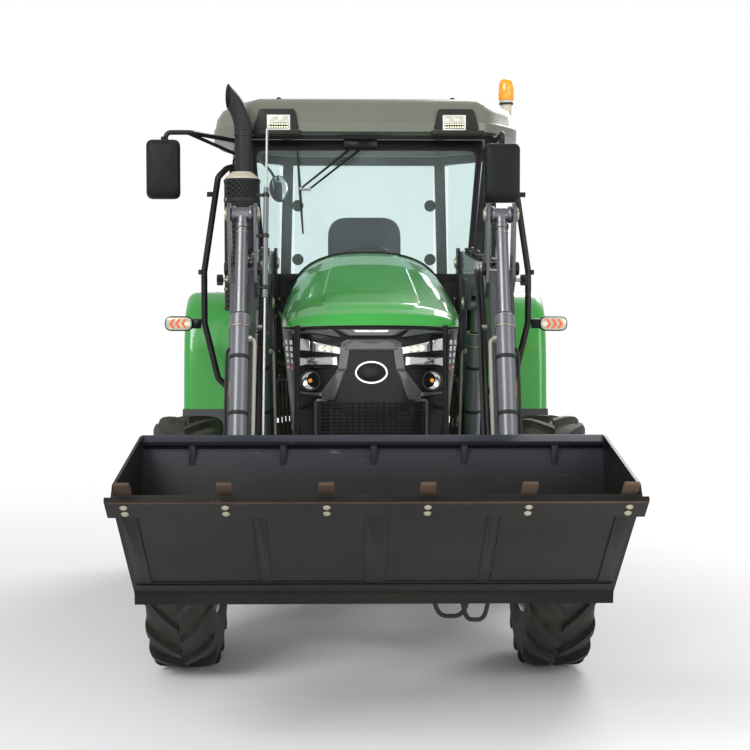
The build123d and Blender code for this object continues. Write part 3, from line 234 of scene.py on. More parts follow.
class Surface:
    """A mesh gathered from grids of two parameters, in metres in the row's frame."""

    def __init__(self) -> None:
        """Starts empty."""
        self.points: list[np.ndarray] = []
        self.faces: list[list[int]] = []
        self.slots: list[int] = []
        self.count = 0

    def _add(self, points: np.ndarray, faces: list, slot: int) -> None:
        """Adds points and the faces that join them, in a material slot.

        Args:
            points: places, one row each.
            faces: corners of each face, counted from the first of the points.
            slot: which of the piece's finishes.
        """
        self.points.append(points.reshape(-1, 3))
        self.faces += faces
        self.slots += [slot] * len(faces)
        self.count += len(self.points[-1])

    def grid(self, points: np.ndarray, slot: int = 0, loop: bool = False, cap: bool = False,
            ring: bool = False, flip: bool = False) -> "Surface":
        """Adds quads between the rows and columns of points (rows, columns, 3).

        Args:
            points: the places.
            slot: material index.
            loop: True if each row closes on itself.
            cap: True to shut the first and the last row with one face each.
            ring: True if the last row joins the first.
            flip: True to turn the faces over.

        Returns:
            This surface.
        """
        rows, cols = points.shape[:2]
        i, j = np.meshgrid(np.arange(rows if ring else rows - 1), np.arange(cols if loop else cols - 1),
            indexing="ij")
        k, m = (i + 1) % rows, (j + 1) % cols
        quads = np.stack([i * cols + j, i * cols + m, k * cols + m, k * cols + j], -1).reshape(-1,
            4) + self.count
        if flip:
            quads = quads[:, ::-1]
        faces = quads.tolist()
        if cap:
            first = (np.arange(cols) + self.count).tolist()
            last = (np.arange(cols) + (rows - 1) * cols + self.count).tolist()
            faces += [first if flip else first[::-1], last[::-1] if flip else last]
        self._add(points, faces, slot)
        return self

    def slab(self, outline: np.ndarray, frame: Frame, depth: float, bevel: float = 0.002, slot: int = 0,
            steps: int = 3, hole: Optional[np.ndarray] = None) -> "Surface":
        """Adds a plate: the outline raised along the frame's normal, with rounded rims.

        Args:
            outline: closed outline (n, 2).
            frame: where the drawing lies.
            depth: thickness along the normal.
            bevel: radius of the rims.
            slot: material index.
            steps: rows per rim.
            hole: a second outline with as many points, cut through, or None.

        Returns:
            This surface.
        """
        a = np.linspace(0, math.pi / 2, steps)
        inset = np.concatenate([bevel * (np.sin(a) - 1), bevel * (np.sin(a[::-1]) - 1)])
        height = np.concatenate([bevel * (1 - np.cos(a)), depth - bevel * (1 - np.cos(a[::-1]))])
        rings = frame.place(grown(outline, inset), height[:, None])
        if hole is None:
            return self.grid(rings, slot, loop=True, cap=True)
        inner = frame.place(grown(hole, -inset), height[:, None])[::-1]
        return self.grid(np.concatenate([rings, inner]), slot, loop=True, ring=True)

    def box(self, low: Vec, high: Vec, radius: float = 0.004, slot: int = 0, facing: str = "up",
            bevel: Optional[float] = None) -> "Surface":
        """Adds a box with rounded edges between two corners given behind the front axle.

        Args:
            low: lowest corner, behind the axle.
            high: highest corner, behind the axle.
            radius: radius of the upright corners.
            slot: which of the piece's finishes.
            facing: side that the drawing looks to.
            bevel: width of the edge's bevel.

        Returns:
            This surface.
        """
        lo, hi = row(*np.minimum(low, high)), row(*np.maximum(low, high))
        mid, size = (lo + hi) / 2, hi - lo
        axis = {"up": 2, "down": 2, "front": 1, "back": 1, "left": 0, "right": 0}[facing]
        frame = flat(mid, facing)
        normal = np.cross(unit(frame.u), unit(frame.v))
        frame = Frame(mid - normal * size[axis] / 2, frame.u, frame.v)
        w, h = (abs(np.dot(unit(d), size)) for d in (frame.u, frame.v))
        return self.slab(box_outline(w, h, radius), frame, size[axis], min(radius,
            size[axis] * 0.45) if bevel is None else bevel, slot)

    def turned(self, profile: Sequence[Vec], origin: Vec, axis: Vec, steps: int = 32, slot: int = 0,
            arc: Sequence[float] = (0.0, 2 * math.pi)) -> "Surface":
        """Adds a profile of (along, radius) points turned round an axis.

        Args:
            profile: points along the axis with their radii.
            origin: where the axis starts.
            axis: its direction.
            steps: columns round it.
            slot: material index.
            arc: start and end angle.

        Returns:
            This surface.
        """
        p, w = np.asarray(profile, float), unit(axis)
        u = unit(np.cross(w, (0, 0, 1) if abs(w[2]) < 0.9 else (1, 0, 0)))
        v = np.cross(w, u)
        full = abs(arc[1] - arc[0]) > 6.28
        a = np.linspace(*arc, steps, endpoint=not full)
        ring = np.cos(a)[:, None] * u + np.sin(a)[:, None] * v
        places = np.asarray(origin, float) + p[:, :1, None] * w + p[:, 1:, None] * ring[None]
        return self.grid(places, slot, loop=full, flip=True)

    def tube(self, path: np.ndarray, radius: Union[float, np.ndarray], sides: int = 12, slot: int = 0,
            squash: float = 1.0) -> "Surface":
        """Adds a round profile carried along a path, its frame kept from twisting.

        The frame's first side at each place is the cross product of the path's direction with one
        fixed direction that the path never follows.

        Args:
            path: places along the middle.
            radius: radius of the round, one value or one per place.
            sides: corners of the round.
            slot: which of the piece's finishes.
            squash: share that the round is flattened to.

        Returns:
            This surface.
        """
        p = np.asarray(path, float)
        along = np.gradient(p, axis=0)
        along /= np.linalg.norm(along, axis=1, keepdims=True)
        steady = np.eye(3)[np.argmin(np.abs(along).max(0))]
        u = np.cross(along, steady)
        u /= np.linalg.norm(u, axis=1, keepdims=True)
        v = np.cross(along, u)
        a = np.arange(sides) * 2 * math.pi / sides
        r = np.broadcast_to(np.asarray(radius, float), (len(p),))[:, None, None]
        rings = p[:, None] + r * (np.cos(a)[None, :, None] * u[:, None] + squash * np.sin(a)[None, :, None]
            * v[:, None])
        return self.grid(rings, slot, loop=True, cap=True)

    def rod(self, start: Vec, end: Vec, radius: float, sides: int = 20, slot: int = 0,
            rim: float = 0.0015) -> "Surface":
        """Adds a straight round bar with a small chamfer at both ends.

        Args:
            start: middle of the first end.
            end: middle of the other end.
            radius: radius of the bar.
            sides: corners of the round.
            slot: which of the piece's finishes.
            rim: width of the chamfer.

        Returns:
            This surface.
        """
        a, b = np.asarray(start, float), np.asarray(end, float)
        length = float(np.linalg.norm(b - a))
        rim = min(rim, radius * 0.4, length * 0.4)
        return self.turned([(0, 0), (0, radius - rim), (rim, radius), (length - rim, radius),
            (length, radius - rim), (length, 0)], a, b - a, sides, slot)

    def bolt(self, place: Vec, normal: Vec, size: float, slot: int = 0) -> "Surface":
        """Adds a hexagon head on its washer, standing on a face.

        Args:
            place: where it stands.
            normal: direction it faces.
            size: radius of the head.
            slot: which of the piece's finishes.

        Returns:
            This surface.
        """
        n = unit(normal)
        self.turned([(0, 0), (0, size), (size * 0.18, size), (size * 0.2, size * 0.8)], place, n, 18, slot)
        u = unit(np.cross(n, (0, 0, 1) if abs(n[2]) < 0.9 else (1, 0, 0)))
        frame = Frame(np.asarray(place, float) + n * size * 0.15, u, np.cross(n, u))
        return self.slab(disc_outline(size * 0.78, 6), frame, size * 0.6, size * 0.08, slot, 2)

    def bolt_ring(self, middle: Vec, normal: Vec, radius: float, count: int, size: float,
            slot: int = 0) -> "Surface":
        """Adds bolts on a circle: middle + radius * (cosine across + sine along) at even angles.

        Args:
            middle: the circle's middle.
            normal: direction the heads face, along an axis.
            radius: radius of the circle.
            count: how many bolts.
            size: radius of a head.
            slot: which of the piece's finishes.

        Returns:
            This surface.
        """
        across, along = [np.eye(3)[n] for n in range(3) if not normal[n]]
        for k in range(count):
            a = k * 2 * math.pi / count
            self.bolt(middle + radius * (math.cos(a) * across + math.sin(a) * along), normal, size, slot)
        return self

    def mirrored(self) -> "Surface":
        """The same surface on the tractor's other side.

        Returns:
            A new surface.
        """
        other = Surface()
        other.points = [p * np.array([-1.0, 1.0, 1.0]) for p in self.points]
        other.faces, other.slots, other.count = [f[::-1] for f in self.faces], list(self.slots), self.count
        return other

    def add(self, other: "Surface") -> "Surface":
        """Adds another surface's faces.

        Args:
            other: the surface to take in.

        Returns:
            This surface.
        """
        shift = self.count
        self.points += other.points
        self.faces += [[i + shift for i in f] for f in other.faces]
        self.slots += other.slots
        self.count += other.count
        return self

    def both(self) -> "Surface":
        """This surface and its mirror image."""
        return self.add(self.mirrored())


# ------------------------------------------------------------------ shaders
class Value:
    """One socket of a material's node tree, with arithmetic that makes Math nodes."""

    def __init__(self, graph: "Graph", socket: bpy.types.NodeSocket) -> None:
        """Keeps the socket and its graph."""
        self.graph, self.socket = graph, socket

    def _with(self, kind: str, *others: Number, swap: bool = False) -> "Value":
        """Adds a Math node of a kind on this value and others, in reversed order where swap is set."""
        terms = [*others, self] if swap else [self, *others]
        return self.graph.node("ShaderNodeMath", {"operation": kind}, *terms)

    def __add__(self, o: Number) -> "Value":
        """This plus o."""
        return self._with("ADD", o)

    def __radd__(self, o: Number) -> "Value":
        """o plus this."""
        return self._with("ADD", o)

    def __sub__(self, o: Number) -> "Value":
        """This less o."""
        return self._with("SUBTRACT", o)

    def __rsub__(self, o: Number) -> "Value":
        """o less this."""
        return self._with("SUBTRACT", o, swap=True)

    def __mul__(self, o: Number) -> "Value":
        """This times o."""
        return self._with("MULTIPLY", o)

    def __rmul__(self, o: Number) -> "Value":
        """o times this."""
        return self._with("MULTIPLY", o)

    def __pow__(self, o: Number) -> "Value":
        """This to the power o."""
        return self._with("POWER", o)

    def __gt__(self, o: Number) -> "Value":
        """1 where this is larger than o."""
        return self._with("GREATER_THAN", o)

    def __mod__(self, o: Number) -> "Value":
        """What is left of this over o."""
        return self._with("FLOORED_MODULO", o)

    def between(self, low: float, high: float) -> "Value":
        """0 below low, 1 above high, and a smooth step between them."""
        return self.graph.node("ShaderNodeMapRange", {"interpolation_type": "SMOOTHSTEP"}, self, low, high,
            0.0, 1.0)

    def wave(self) -> "Value":
        """Sine of this value."""
        return self._with("SINE")


class Graph:
    """The node tree of one new material."""

    def __init__(self, name: str) -> None:
        """Makes the material and finds its shader.

        Args:
            name: name in the file.
        """
        self.material = bpy.data.materials.new(name)
        self.material.use_nodes = True
        self.tree = self.material.node_tree
        self.shader = self.tree.nodes["Principled BSDF"]
        coords = self.tree.nodes.new("ShaderNodeTexCoord")
        self.place = Value(self, coords.outputs["Object"])
        self.x, self.y, self.z = self.split(self.place)
        self.up = self.split(Value(self, coords.outputs["Normal"]))[2]

    def node(self, kind: str, settings: Optional[dict] = None, *inputs: object, out: int = 0,
            named: Optional[dict] = None) -> Value:
        """Makes a node.

        Args:
            kind: the node's type.
            settings: attributes, set before any socket.
            inputs: values for the sockets in order; None leaves a socket alone.
            out: index of the output to return.
            named: values for sockets by name.

        Returns:
            The chosen output.
        """
        made = self.tree.nodes.new(kind)
        for key, value in (settings or {}).items():
            setattr(made, key, value)
        pairs = list(zip(made.inputs, inputs)) + [(made.inputs[k], v) for k, v in (named or {}).items()]
        for socket, value in pairs:
            self.feed(socket, value)
        return Value(self, made.outputs[out])

    def feed(self, socket: bpy.types.NodeSocket, value: object) -> None:
        """Links a Value to a socket, or sets a plain value on it.

        Args:
            socket: the input.
            value: a Value, a number or a colour.
        """
        if isinstance(value, Value):
            self.tree.links.new(value.socket, socket)
        elif value is not None:
            if isinstance(value, tuple) and len(value) == 3 and socket.type == "RGBA":
                value = (*value, 1.0)
            socket.default_value = value

    def split(self, vector: Value) -> tuple[Value, Value, Value]:
        """The three parts of a vector."""
        node = self.node("ShaderNodeSeparateXYZ", None, vector).socket.node
        return tuple(Value(self, o) for o in node.outputs)

    def noise(self, scale: float, detail: float = 3.0, rough: float = 0.55,
            at: Optional[Value] = None) -> Value:
        """Fractal noise of the place, about 0.5."""
        return self.node("ShaderNodeTexNoise", None, named={
            "Vector": at or self.place, "Scale": scale, "Detail": detail, "Roughness": rough})

    def cells(self, scale: float, at: Optional[Value] = None, feature: str = "F1",
            spread: float = 1.0) -> Value:
        """Distance to the nearest of scattered (or, at spread 0, regular) points."""
        return self.node("ShaderNodeTexVoronoi", {"feature": feature}, named={
            "Vector": at or self.place, "Scale": scale, "Randomness": spread})

    def stretched(self, x: float, y: float, z: float) -> Value:
        """The place with each direction multiplied."""
        return self.node("ShaderNodeVectorMath", {"operation": "MULTIPLY"}, self.place, (x, y, z))

    def mix(self, share: Number, a: object, b: object) -> Value:
        """Colour a, turned into b by share.

        Args:
            share: 0 for a, 1 for b.
            a: first colour.
            b: second colour.

        Returns:
            The result.
        """
        made = self.tree.nodes.new("ShaderNodeMix")
        made.data_type = "RGBA"
        for index, value in ((0, share), (6, a), (7, b)):
            self.feed(made.inputs[index], value)
        return Value(self, made.outputs[2])

    def bump(self, height: Number, depth: float, strength: float = 1.0) -> None:
        """Drives the shader's normal by a height whose 0 to 1 is depth metres."""
        self.feed(self.shader.inputs["Normal"], self.node(
            "ShaderNodeBump", None, named={"Strength": strength, "Distance": depth, "Height": height}))

    def set(self, **values: object) -> "Graph":
        """Feeds the shader's sockets; words joined by _ are their names.

        Returns:
            This graph.
        """
        for key, value in values.items():
            self.feed(self.shader.inputs[key.replace("_", " ")], value)
        return self


class Surfacing(Enum):
    """How a finish's small relief runs."""

    SMOOTH = "smooth"
    ORANGE_PEEL = "orange peel"
    CAST = "cast"
    GRAIN = "grain"
    BRUSHED = "brushed"
    WEAVE = "weave"
    PERFORATED = "perforated"


@dataclass(frozen=True)
class Finish:
    """A plain finish with its dirt, wear and small relief.

    Args:
        name: the material's name.
        color: base colour.
        rough: roughness.
        metal: metallic share.
        coat: clear coat's weight.
        dust: how much pale dust lies on low and upward faces.
        worn: colour that shows through in scratches, or None.
        relief: kind of relief.
        scale: size of the relief, in cells per metre.
        depth: depth of the relief in metres.
        shade: strength of the colour's slow variation.
        glow: emission strength, in the finish's own colour.
        clear: share that light passes.
    """

    name: str
    color: Vec
    rough: float = 0.5
    metal: float = 0.0
    coat: float = 0.0
    dust: float = 0.15
    worn: Optional[Vec] = None
    relief: Surfacing = Surfacing.SMOOTH
    scale: float = 300.0
    depth: float = 0.0003
    shade: float = 0.12
    glow: float = 0.0
    clear: float = 0.0

    def build(self) -> bpy.types.Material:
        """Makes the material.

        Returns:
            The material.
        """
        g = Graph(self.name)
        c = tuple(self.color)
        cloud, fine = g.noise(2.3, 4.0), g.noise(38.0, 4.0, 0.65)
        dark, light = tuple(v * (1 - self.shade) for v in c), tuple(min(1.0, v * (1 + self.shade)) for v in c)
        color = g.mix((cloud - 0.5) * 2.2 + 0.5, dark, light)
        rough: Number = (fine - 0.5) * 0.22 + self.rough
        metal: Number = self.metal
        if self.worn is not None:
            scratch = g.noise(26.0, 6.0, 0.75, g.stretched(1, 0.35, 0.35)).between(0.62, 0.7) * 0.75
            color = g.mix(scratch, color, self.worn)
            metal = scratch * 0.5 + self.metal
        if self.dust > 0:
            low = 1.0 - g.z.between(0.2, 2.2)
            lies = (g.up.between(0.2, 0.95) * 0.55 + low * 0.6) * g.noise(9.0, 5.0, 0.7).between(0.36, 0.72)
            lies = lies * self.dust
            color = g.mix(lies, color, (0.20, 0.165, 0.12))
            rough = lies * 0.5 + rough
        height = self._relief(g)
        if height is not None:
            g.bump(height, self.depth)
            if self.relief is Surfacing.PERFORATED:
                # painted shade: the holes are coloured near-black to stand for the shadowed can seen through
                # them
                color = g.mix(height, (0.004, 0.004, 0.004), color)
        g.set(Base_Color=color, Roughness=rough, Metallic=metal, Coat_Weight=self.coat, Coat_Roughness=0.05,
            Specular_IOR_Level=0.5 if max(c) > 0.04 else 0.22)
        if self.glow:
            g.set(Emission_Color=c, Emission_Strength=self.glow)
        if self.clear:
            g.set(Alpha=1 - self.clear)
        return g.material

    def _relief(self, g: Graph) -> Optional[Value]:
        """Height of the finish's relief, 0 to 1.

        Args:
            g: the material's graph.

        Returns:
            The height, or None for a smooth finish.
        """
        s = self.scale
        if self.relief is Surfacing.ORANGE_PEEL:
            return g.noise(s, 2.0)
        if self.relief is Surfacing.CAST:
            return g.noise(s, 5.0, 0.7) * 0.7 + g.cells(s * 0.6) * 0.3
        if self.relief is Surfacing.GRAIN:
            return g.cells(s, feature="SMOOTH_F1")
        if self.relief is Surfacing.BRUSHED:
            return g.noise(s, 2.0, 0.5, g.stretched(0.05, 1, 1))
        if self.relief is Surfacing.WEAVE:
            return (g.x * s).wave() * (g.z * s).wave() * (g.y * s).wave() * 0.5 + 0.5
        if self.relief is Surfacing.PERFORATED:
            row_shift = ((g.z * s * 0.5) % 1.0 > 0.5) * 0.5
            u = ((g.x + g.y * 0.9) * s * 0.6 + row_shift) % 1.0 - 0.5
            v = (g.z * s) % 1.0 - 0.5
            return (u * u + v * v * 0.6).between(0.05, 0.08)
        return None


@dataclass(frozen=True)
class TyreFinish:
    """Dusty black rubber, browner in the gaps between the lugs.

    Args:
        name: the material's name.
        hub_y: the wheel's place along Y.
        hub_z: height of its middle.
        radius: radius over the lugs.
    """

    name: str
    hub_y: float
    hub_z: float
    radius: float

    def build(self) -> bpy.types.Material:
        """Makes the material.

        Returns:
            The material.
        """
        g = Graph(self.name)
        dy, dz = g.y - self.hub_y, g.z - self.hub_z
        depth = (self.radius - (dy * dy + dz * dz) ** 0.5).between(0.002, 0.034)
        dirt = g.noise(16.0, 6.0, 0.72).between(0.3, 0.72)
        rubber = g.mix(g.noise(5.0), (0.009, 0.0088, 0.0082), (0.024, 0.0225, 0.020))
        lies = dirt * (depth * 0.26 + 0.07) * (g.z.between(0.3, 1.1) * 0.9 + 0.45)
        color = g.mix(lies, rubber, (0.170, 0.138, 0.098))
        g.bump(g.noise(260.0, 4.0, 0.7) * 0.6 + g.noise(40.0, 3.0) * 0.4, 0.0007)
        g.set(Base_Color=color, Roughness=0.62 + lies * 0.5)
        return g.material


@dataclass(frozen=True)
class GlassFinish:
    """A pane that light passes, tinted and glossy.

    Args:
        name: the material's name.
        tint: colour of what is seen through it.
        film: share of the pane's own colour that shows.
        color: the pane's own colour.
    """

    name: str
    tint: Vec
    film: float = 0.08
    color: Vec = (0.25, 0.4, 0.38)

    def build(self) -> bpy.types.Material:
        """Makes the material.

        Returns:
            The material.
        """
        g = Graph(self.name)
        g.set(Base_Color=tuple(self.color), Roughness=0.04)
        see = g.node("ShaderNodeBsdfTransparent", None, (*self.tint, 1.0))
        facing = g.node("ShaderNodeLayerWeight", None, 0.12, out=0)
        streak = g.noise(3.0, 3.0, 0.6, g.stretched(1, 1, 0.4)).between(0.45, 0.75) * 0.03
        share = facing * 0.55 + streak + self.film
        mixed = g.node("ShaderNodeMixShader", None, share, see, Value(g, g.shader.outputs[0]))
        g.feed(g.tree.nodes["Material Output"].inputs["Surface"], mixed)
        return g.material


@dataclass(frozen=True)
class BucketFinish:
    """Black paint with a painted olive-brown sheen, scuffed bare on the edge, and a painted blue-grey
    reflection inside.

    Args:
        name: the material's name.
        edge_z: height of the cutting edge.
        back_y: place of the back plate, in the row's frame.
    """

    name: str
    edge_z: float
    back_y: float

    def build(self) -> bpy.types.Material:
        """Makes the material.

        Returns:
            The material.
        """
        g = Graph(self.name)
        broad, fine = g.noise(1.7, 3.0), g.noise(34.0, 6.0, 0.75)
        # near-black paint, patched with a painted olive-brown sheen
        outside = g.mix(broad.between(0.35, 0.7), (0.0045, 0.0043, 0.0038), (0.012, 0.0105, 0.0072))
        # painted reflection: blue-grey that stands for the dark-blue sheen on the inner plates
        inside = g.mix(g.noise(3.0, 5.0), (0.030, 0.036, 0.056), (0.048, 0.056, 0.080))
        # deep marks where the painted inside reflection lies: close to the back plate, above the floor
        deep = (g.y - self.back_y).between(-0.16, -0.05) * g.z.between(self.edge_z - 0.35, self.edge_z - 0.2)
        color = g.mix(deep * 0.9, outside, inside)
        rub = g.noise(21.0, 7.0, 0.8, g.stretched(0.3, 1, 1)).between(0.60, 0.72)
        near_edge = g.z.between(self.edge_z - 0.06, self.edge_z + 0.005)
        color = g.mix(rub * (near_edge * 0.7 + 0.10), color, (0.16, 0.125, 0.09))
        g.bump(fine * 0.6 + broad * 0.4, 0.0012)
        g.set(Base_Color=color, Roughness=0.34 + fine * 0.22, Coat_Weight=0.04, Coat_Roughness=0.3,
            Specular_IOR_Level=0.22)
        return g.material


# ------------------------------------------------------------------ finishes
GREEN = Finish("green_paint", (0.022, 0.350, 0.034), 0.34, coat=0.8, dust=0.06, relief=Surfacing.ORANGE_PEEL,
    scale=240.0, depth=0.00012, shade=0.05)
BLACK = Finish("black_paint", (0.009, 0.009, 0.010), 0.42, coat=0.2, dust=0.18, relief=Surfacing.ORANGE_PEEL,
    scale=260.0, depth=0.0003)
NAVY = Finish("mast_paint", (0.016, 0.019, 0.028), 0.36, coat=0.3, dust=0.3, relief=Surfacing.ORANGE_PEEL)
ARM = Finish("arm_paint", (0.060, 0.062, 0.072), 0.40, coat=0.35, dust=0.2, worn=(0.14, 0.13, 0.12),
    relief=Surfacing.ORANGE_PEEL, depth=0.0004)
CYLINDER = Finish("cylinder_paint", (0.105, 0.108, 0.125), 0.34, coat=0.4, dust=0.12,
    relief=Surfacing.ORANGE_PEEL, depth=0.0002)
ROD = Finish("rod_chrome", (0.17, 0.17, 0.185), 0.36, metal=0.8, dust=0.0, relief=Surfacing.BRUSHED,
    scale=500.0, depth=0.00005)
STEEL = Finish("bright_steel", (0.34, 0.34, 0.33), 0.40, metal=0.85, dust=0.1, relief=Surfacing.CAST,
    scale=400.0, depth=0.0001)
ZINC = Finish("zinc_plate", (0.46, 0.43, 0.33), 0.42, metal=0.7, dust=0.15, relief=Surfacing.CAST,
    scale=300.0)
RUST = Finish("tooth_steel", (0.085, 0.052, 0.034), 0.7, metal=0.35, dust=0.3, worn=(0.20, 0.12, 0.075),
    relief=Surfacing.CAST, scale=120.0, depth=0.0015, shade=0.35)
CASTING = Finish("castings", (0.040, 0.043, 0.047), 0.55, dust=0.75, relief=Surfacing.CAST, scale=190.0,
    depth=0.0008)
PLASTIC = Finish("black_plastic", (0.008, 0.008, 0.009), 0.50, dust=0.18, relief=Surfacing.GRAIN, scale=700.0,
    depth=0.00018)
SATIN = Finish("satin_plastic", (0.005, 0.005, 0.0055), 0.34, coat=0.04, dust=0.08,
    relief=Surfacing.ORANGE_PEEL, scale=150.0)
GREY_TRIM = Finish("grey_trim", (0.052, 0.054, 0.058), 0.30, coat=0.4, dust=0.08,
    relief=Surfacing.ORANGE_PEEL)
SOFT_RUBBER = Finish("seal_rubber", (0.012, 0.012, 0.012), 0.72, dust=0.3, relief=Surfacing.GRAIN,
    scale=500.0)
HOSE = Finish("hose_rubber", (0.016, 0.016, 0.017), 0.5, dust=0.3, relief=Surfacing.WEAVE, scale=1900.0,
    depth=0.0002)
ROOF = Finish("roof_plastic", (0.150, 0.158, 0.122), 0.36, coat=0.35, dust=0.35, relief=Surfacing.ORANGE_PEEL,
    scale=200.0, shade=0.06)
# also used as the painted shade plate behind the nose lattice
RECESS = Finish("roof_recess", (0.022, 0.023, 0.020), 0.5, dust=0.1, relief=Surfacing.GRAIN)
WHEEL = Finish("rims", (0.50, 0.51, 0.50), 0.36, metal=0.25, coat=0.4, dust=0.55,
    relief=Surfacing.ORANGE_PEEL)
FABRIC = Finish("seat_fabric", (0.040, 0.041, 0.045), 0.85, dust=0.08, relief=Surfacing.WEAVE, scale=1500.0,
    depth=0.0006)
# its perforations are coloured near-black as painted shade
SHIELD = Finish("muffler_shield", (0.030, 0.030, 0.031), 0.45, metal=0.3, dust=0.1,
    relief=Surfacing.PERFORATED, scale=78.0, depth=0.002)
CREAM = Finish("cream_plastic", (0.62, 0.57, 0.44), 0.4, dust=0.1, relief=Surfacing.ORANGE_PEEL)
AMBER = Finish("amber_lens", (0.95, 0.33, 0.01), 0.18, coat=0.8, dust=0.04, glow=0.25)
RED = Finish("red_lens", (0.70, 0.035, 0.015), 0.2, coat=0.8, dust=0.04, glow=0.12)
ORANGE = Finish("chevron_lens", (0.90, 0.12, 0.02), 0.2, coat=0.6, dust=0.0, glow=0.25)
YELLOW = Finish("plate_yellow", (0.85, 0.33, 0.02), 0.45, dust=0.12)
SILVER = Finish("reflector", (0.72, 0.74, 0.76), 0.12, metal=0.9, dust=0.0, shade=0.25)
LED = Finish("led_chips", (0.90, 0.90, 0.62), 0.3, dust=0.0, glow=0.55)
PANE = GlassFinish("cab_pane", (0.93, 0.985, 0.98), 0.06, (0.60, 0.70, 0.70))
MIRROR = Finish("mirror_glass", (0.80, 0.82, 0.84), 0.03, metal=1.0, dust=0.0, shade=0.0)
PIPE = Finish("exhaust_steel", (0.030, 0.030, 0.031), 0.52, metal=0.2, dust=0.1, relief=Surfacing.CAST,
    scale=260.0)
FLAP = Finish("mudflap", (0.045, 0.047, 0.050), 0.6, dust=0.3, relief=Surfacing.GRAIN, scale=300.0)
SOCKET = Finish("olive_paint", (0.045, 0.115, 0.035), 0.42, coat=0.3, dust=0.3, relief=Surfacing.ORANGE_PEEL)


class Shop:
    """Makes each finish once and turns surfaces into pieces."""

    def __init__(self, frame: dict) -> None:
        """Keeps the loaded frame.
        """
        self.frame = frame
        self.made: dict[str, bpy.types.Material] = {}
        self.count = 0

    def material(self, finish: object) -> bpy.types.Material:
        """The finish's material, made at its first use.

        Args:
            finish: the finish.

        Returns:
            The material.
        """
        if finish.name not in self.made:
            self.made[finish.name] = finish.build()
        return self.made[finish.name]

    def piece(self, name: str, surface: Surface, body: str, finishes: Sequence[object],
            replaces: Iterable[str] = (), slot: Optional[str] = None,
            sharp: float = 32.0) -> bpy.types.Object:
        """Turns a surface into an object that rides on a body.

        Args:
            name: the piece's name.
            surface: its faces, in the row's frame.
            body: name of the body that it moves with.
            finishes: one finish per material index.
            replaces: CAD nodes that it stands for.
            slot: the record's material slot; not used.
            sharp: edges over this many degrees stay sharp.

        Returns:
            The new object.
        """
        mesh = bpy.data.meshes.new(name)
        mesh.from_pydata(np.concatenate(surface.points).tolist(), [], surface.faces)
        for finish in finishes:
            mesh.materials.append(self.material(finish))
        mesh.polygons.foreach_set("material_index", np.array(surface.slots, np.int32))
        mesh.shade_smooth()
        mesh.set_sharp_from_angle(angle=math.radians(sharp))
        mesh.update()
        obj = bpy.data.objects.new(name, mesh)
        bpy.context.scene.collection.objects.link(obj)
        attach(obj, body)
        if replaces:
            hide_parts(*replaces)
        self.count += 1
        LOG.info("piece %s: %d faces on %s", name, len(surface.faces), body)
        return obj

    def dress(self, finish: object, *nodes: str) -> None:
        """Gives CAD nodes a finish.

        Args:
            finish: the finish.
            nodes: names of the nodes.
        """
        for node in nodes:
            data = self.frame["nodes"][node].data
            data.materials.clear()
            data.materials.append(self.material(finish))
            LOG.info("dressed %s in %s", node, finish.name)


# ------------------------------------------------------------------ wheels
@dataclass(frozen=True)
class WheelSize:
    """Sizes of one kind of wheel, in metres."""

    node: str
    track: float
    hub_y: float
    radius: float
    width: float
    rim: float
    lugs: int
    height: float
    disc_x: float
    nuts: int
    hub: float


FRONT_WHEEL = WheelSize("front", 1.590, 0.0, 0.5525, 0.284, 0.305, 19, 0.030, 0.745, 8, 0.105)
REAR_WHEEL = WheelSize("rear", 1.550, 2.2, 0.7375, 0.430, 0.381, 20, 0.038, 0.735, 8, 0.120)


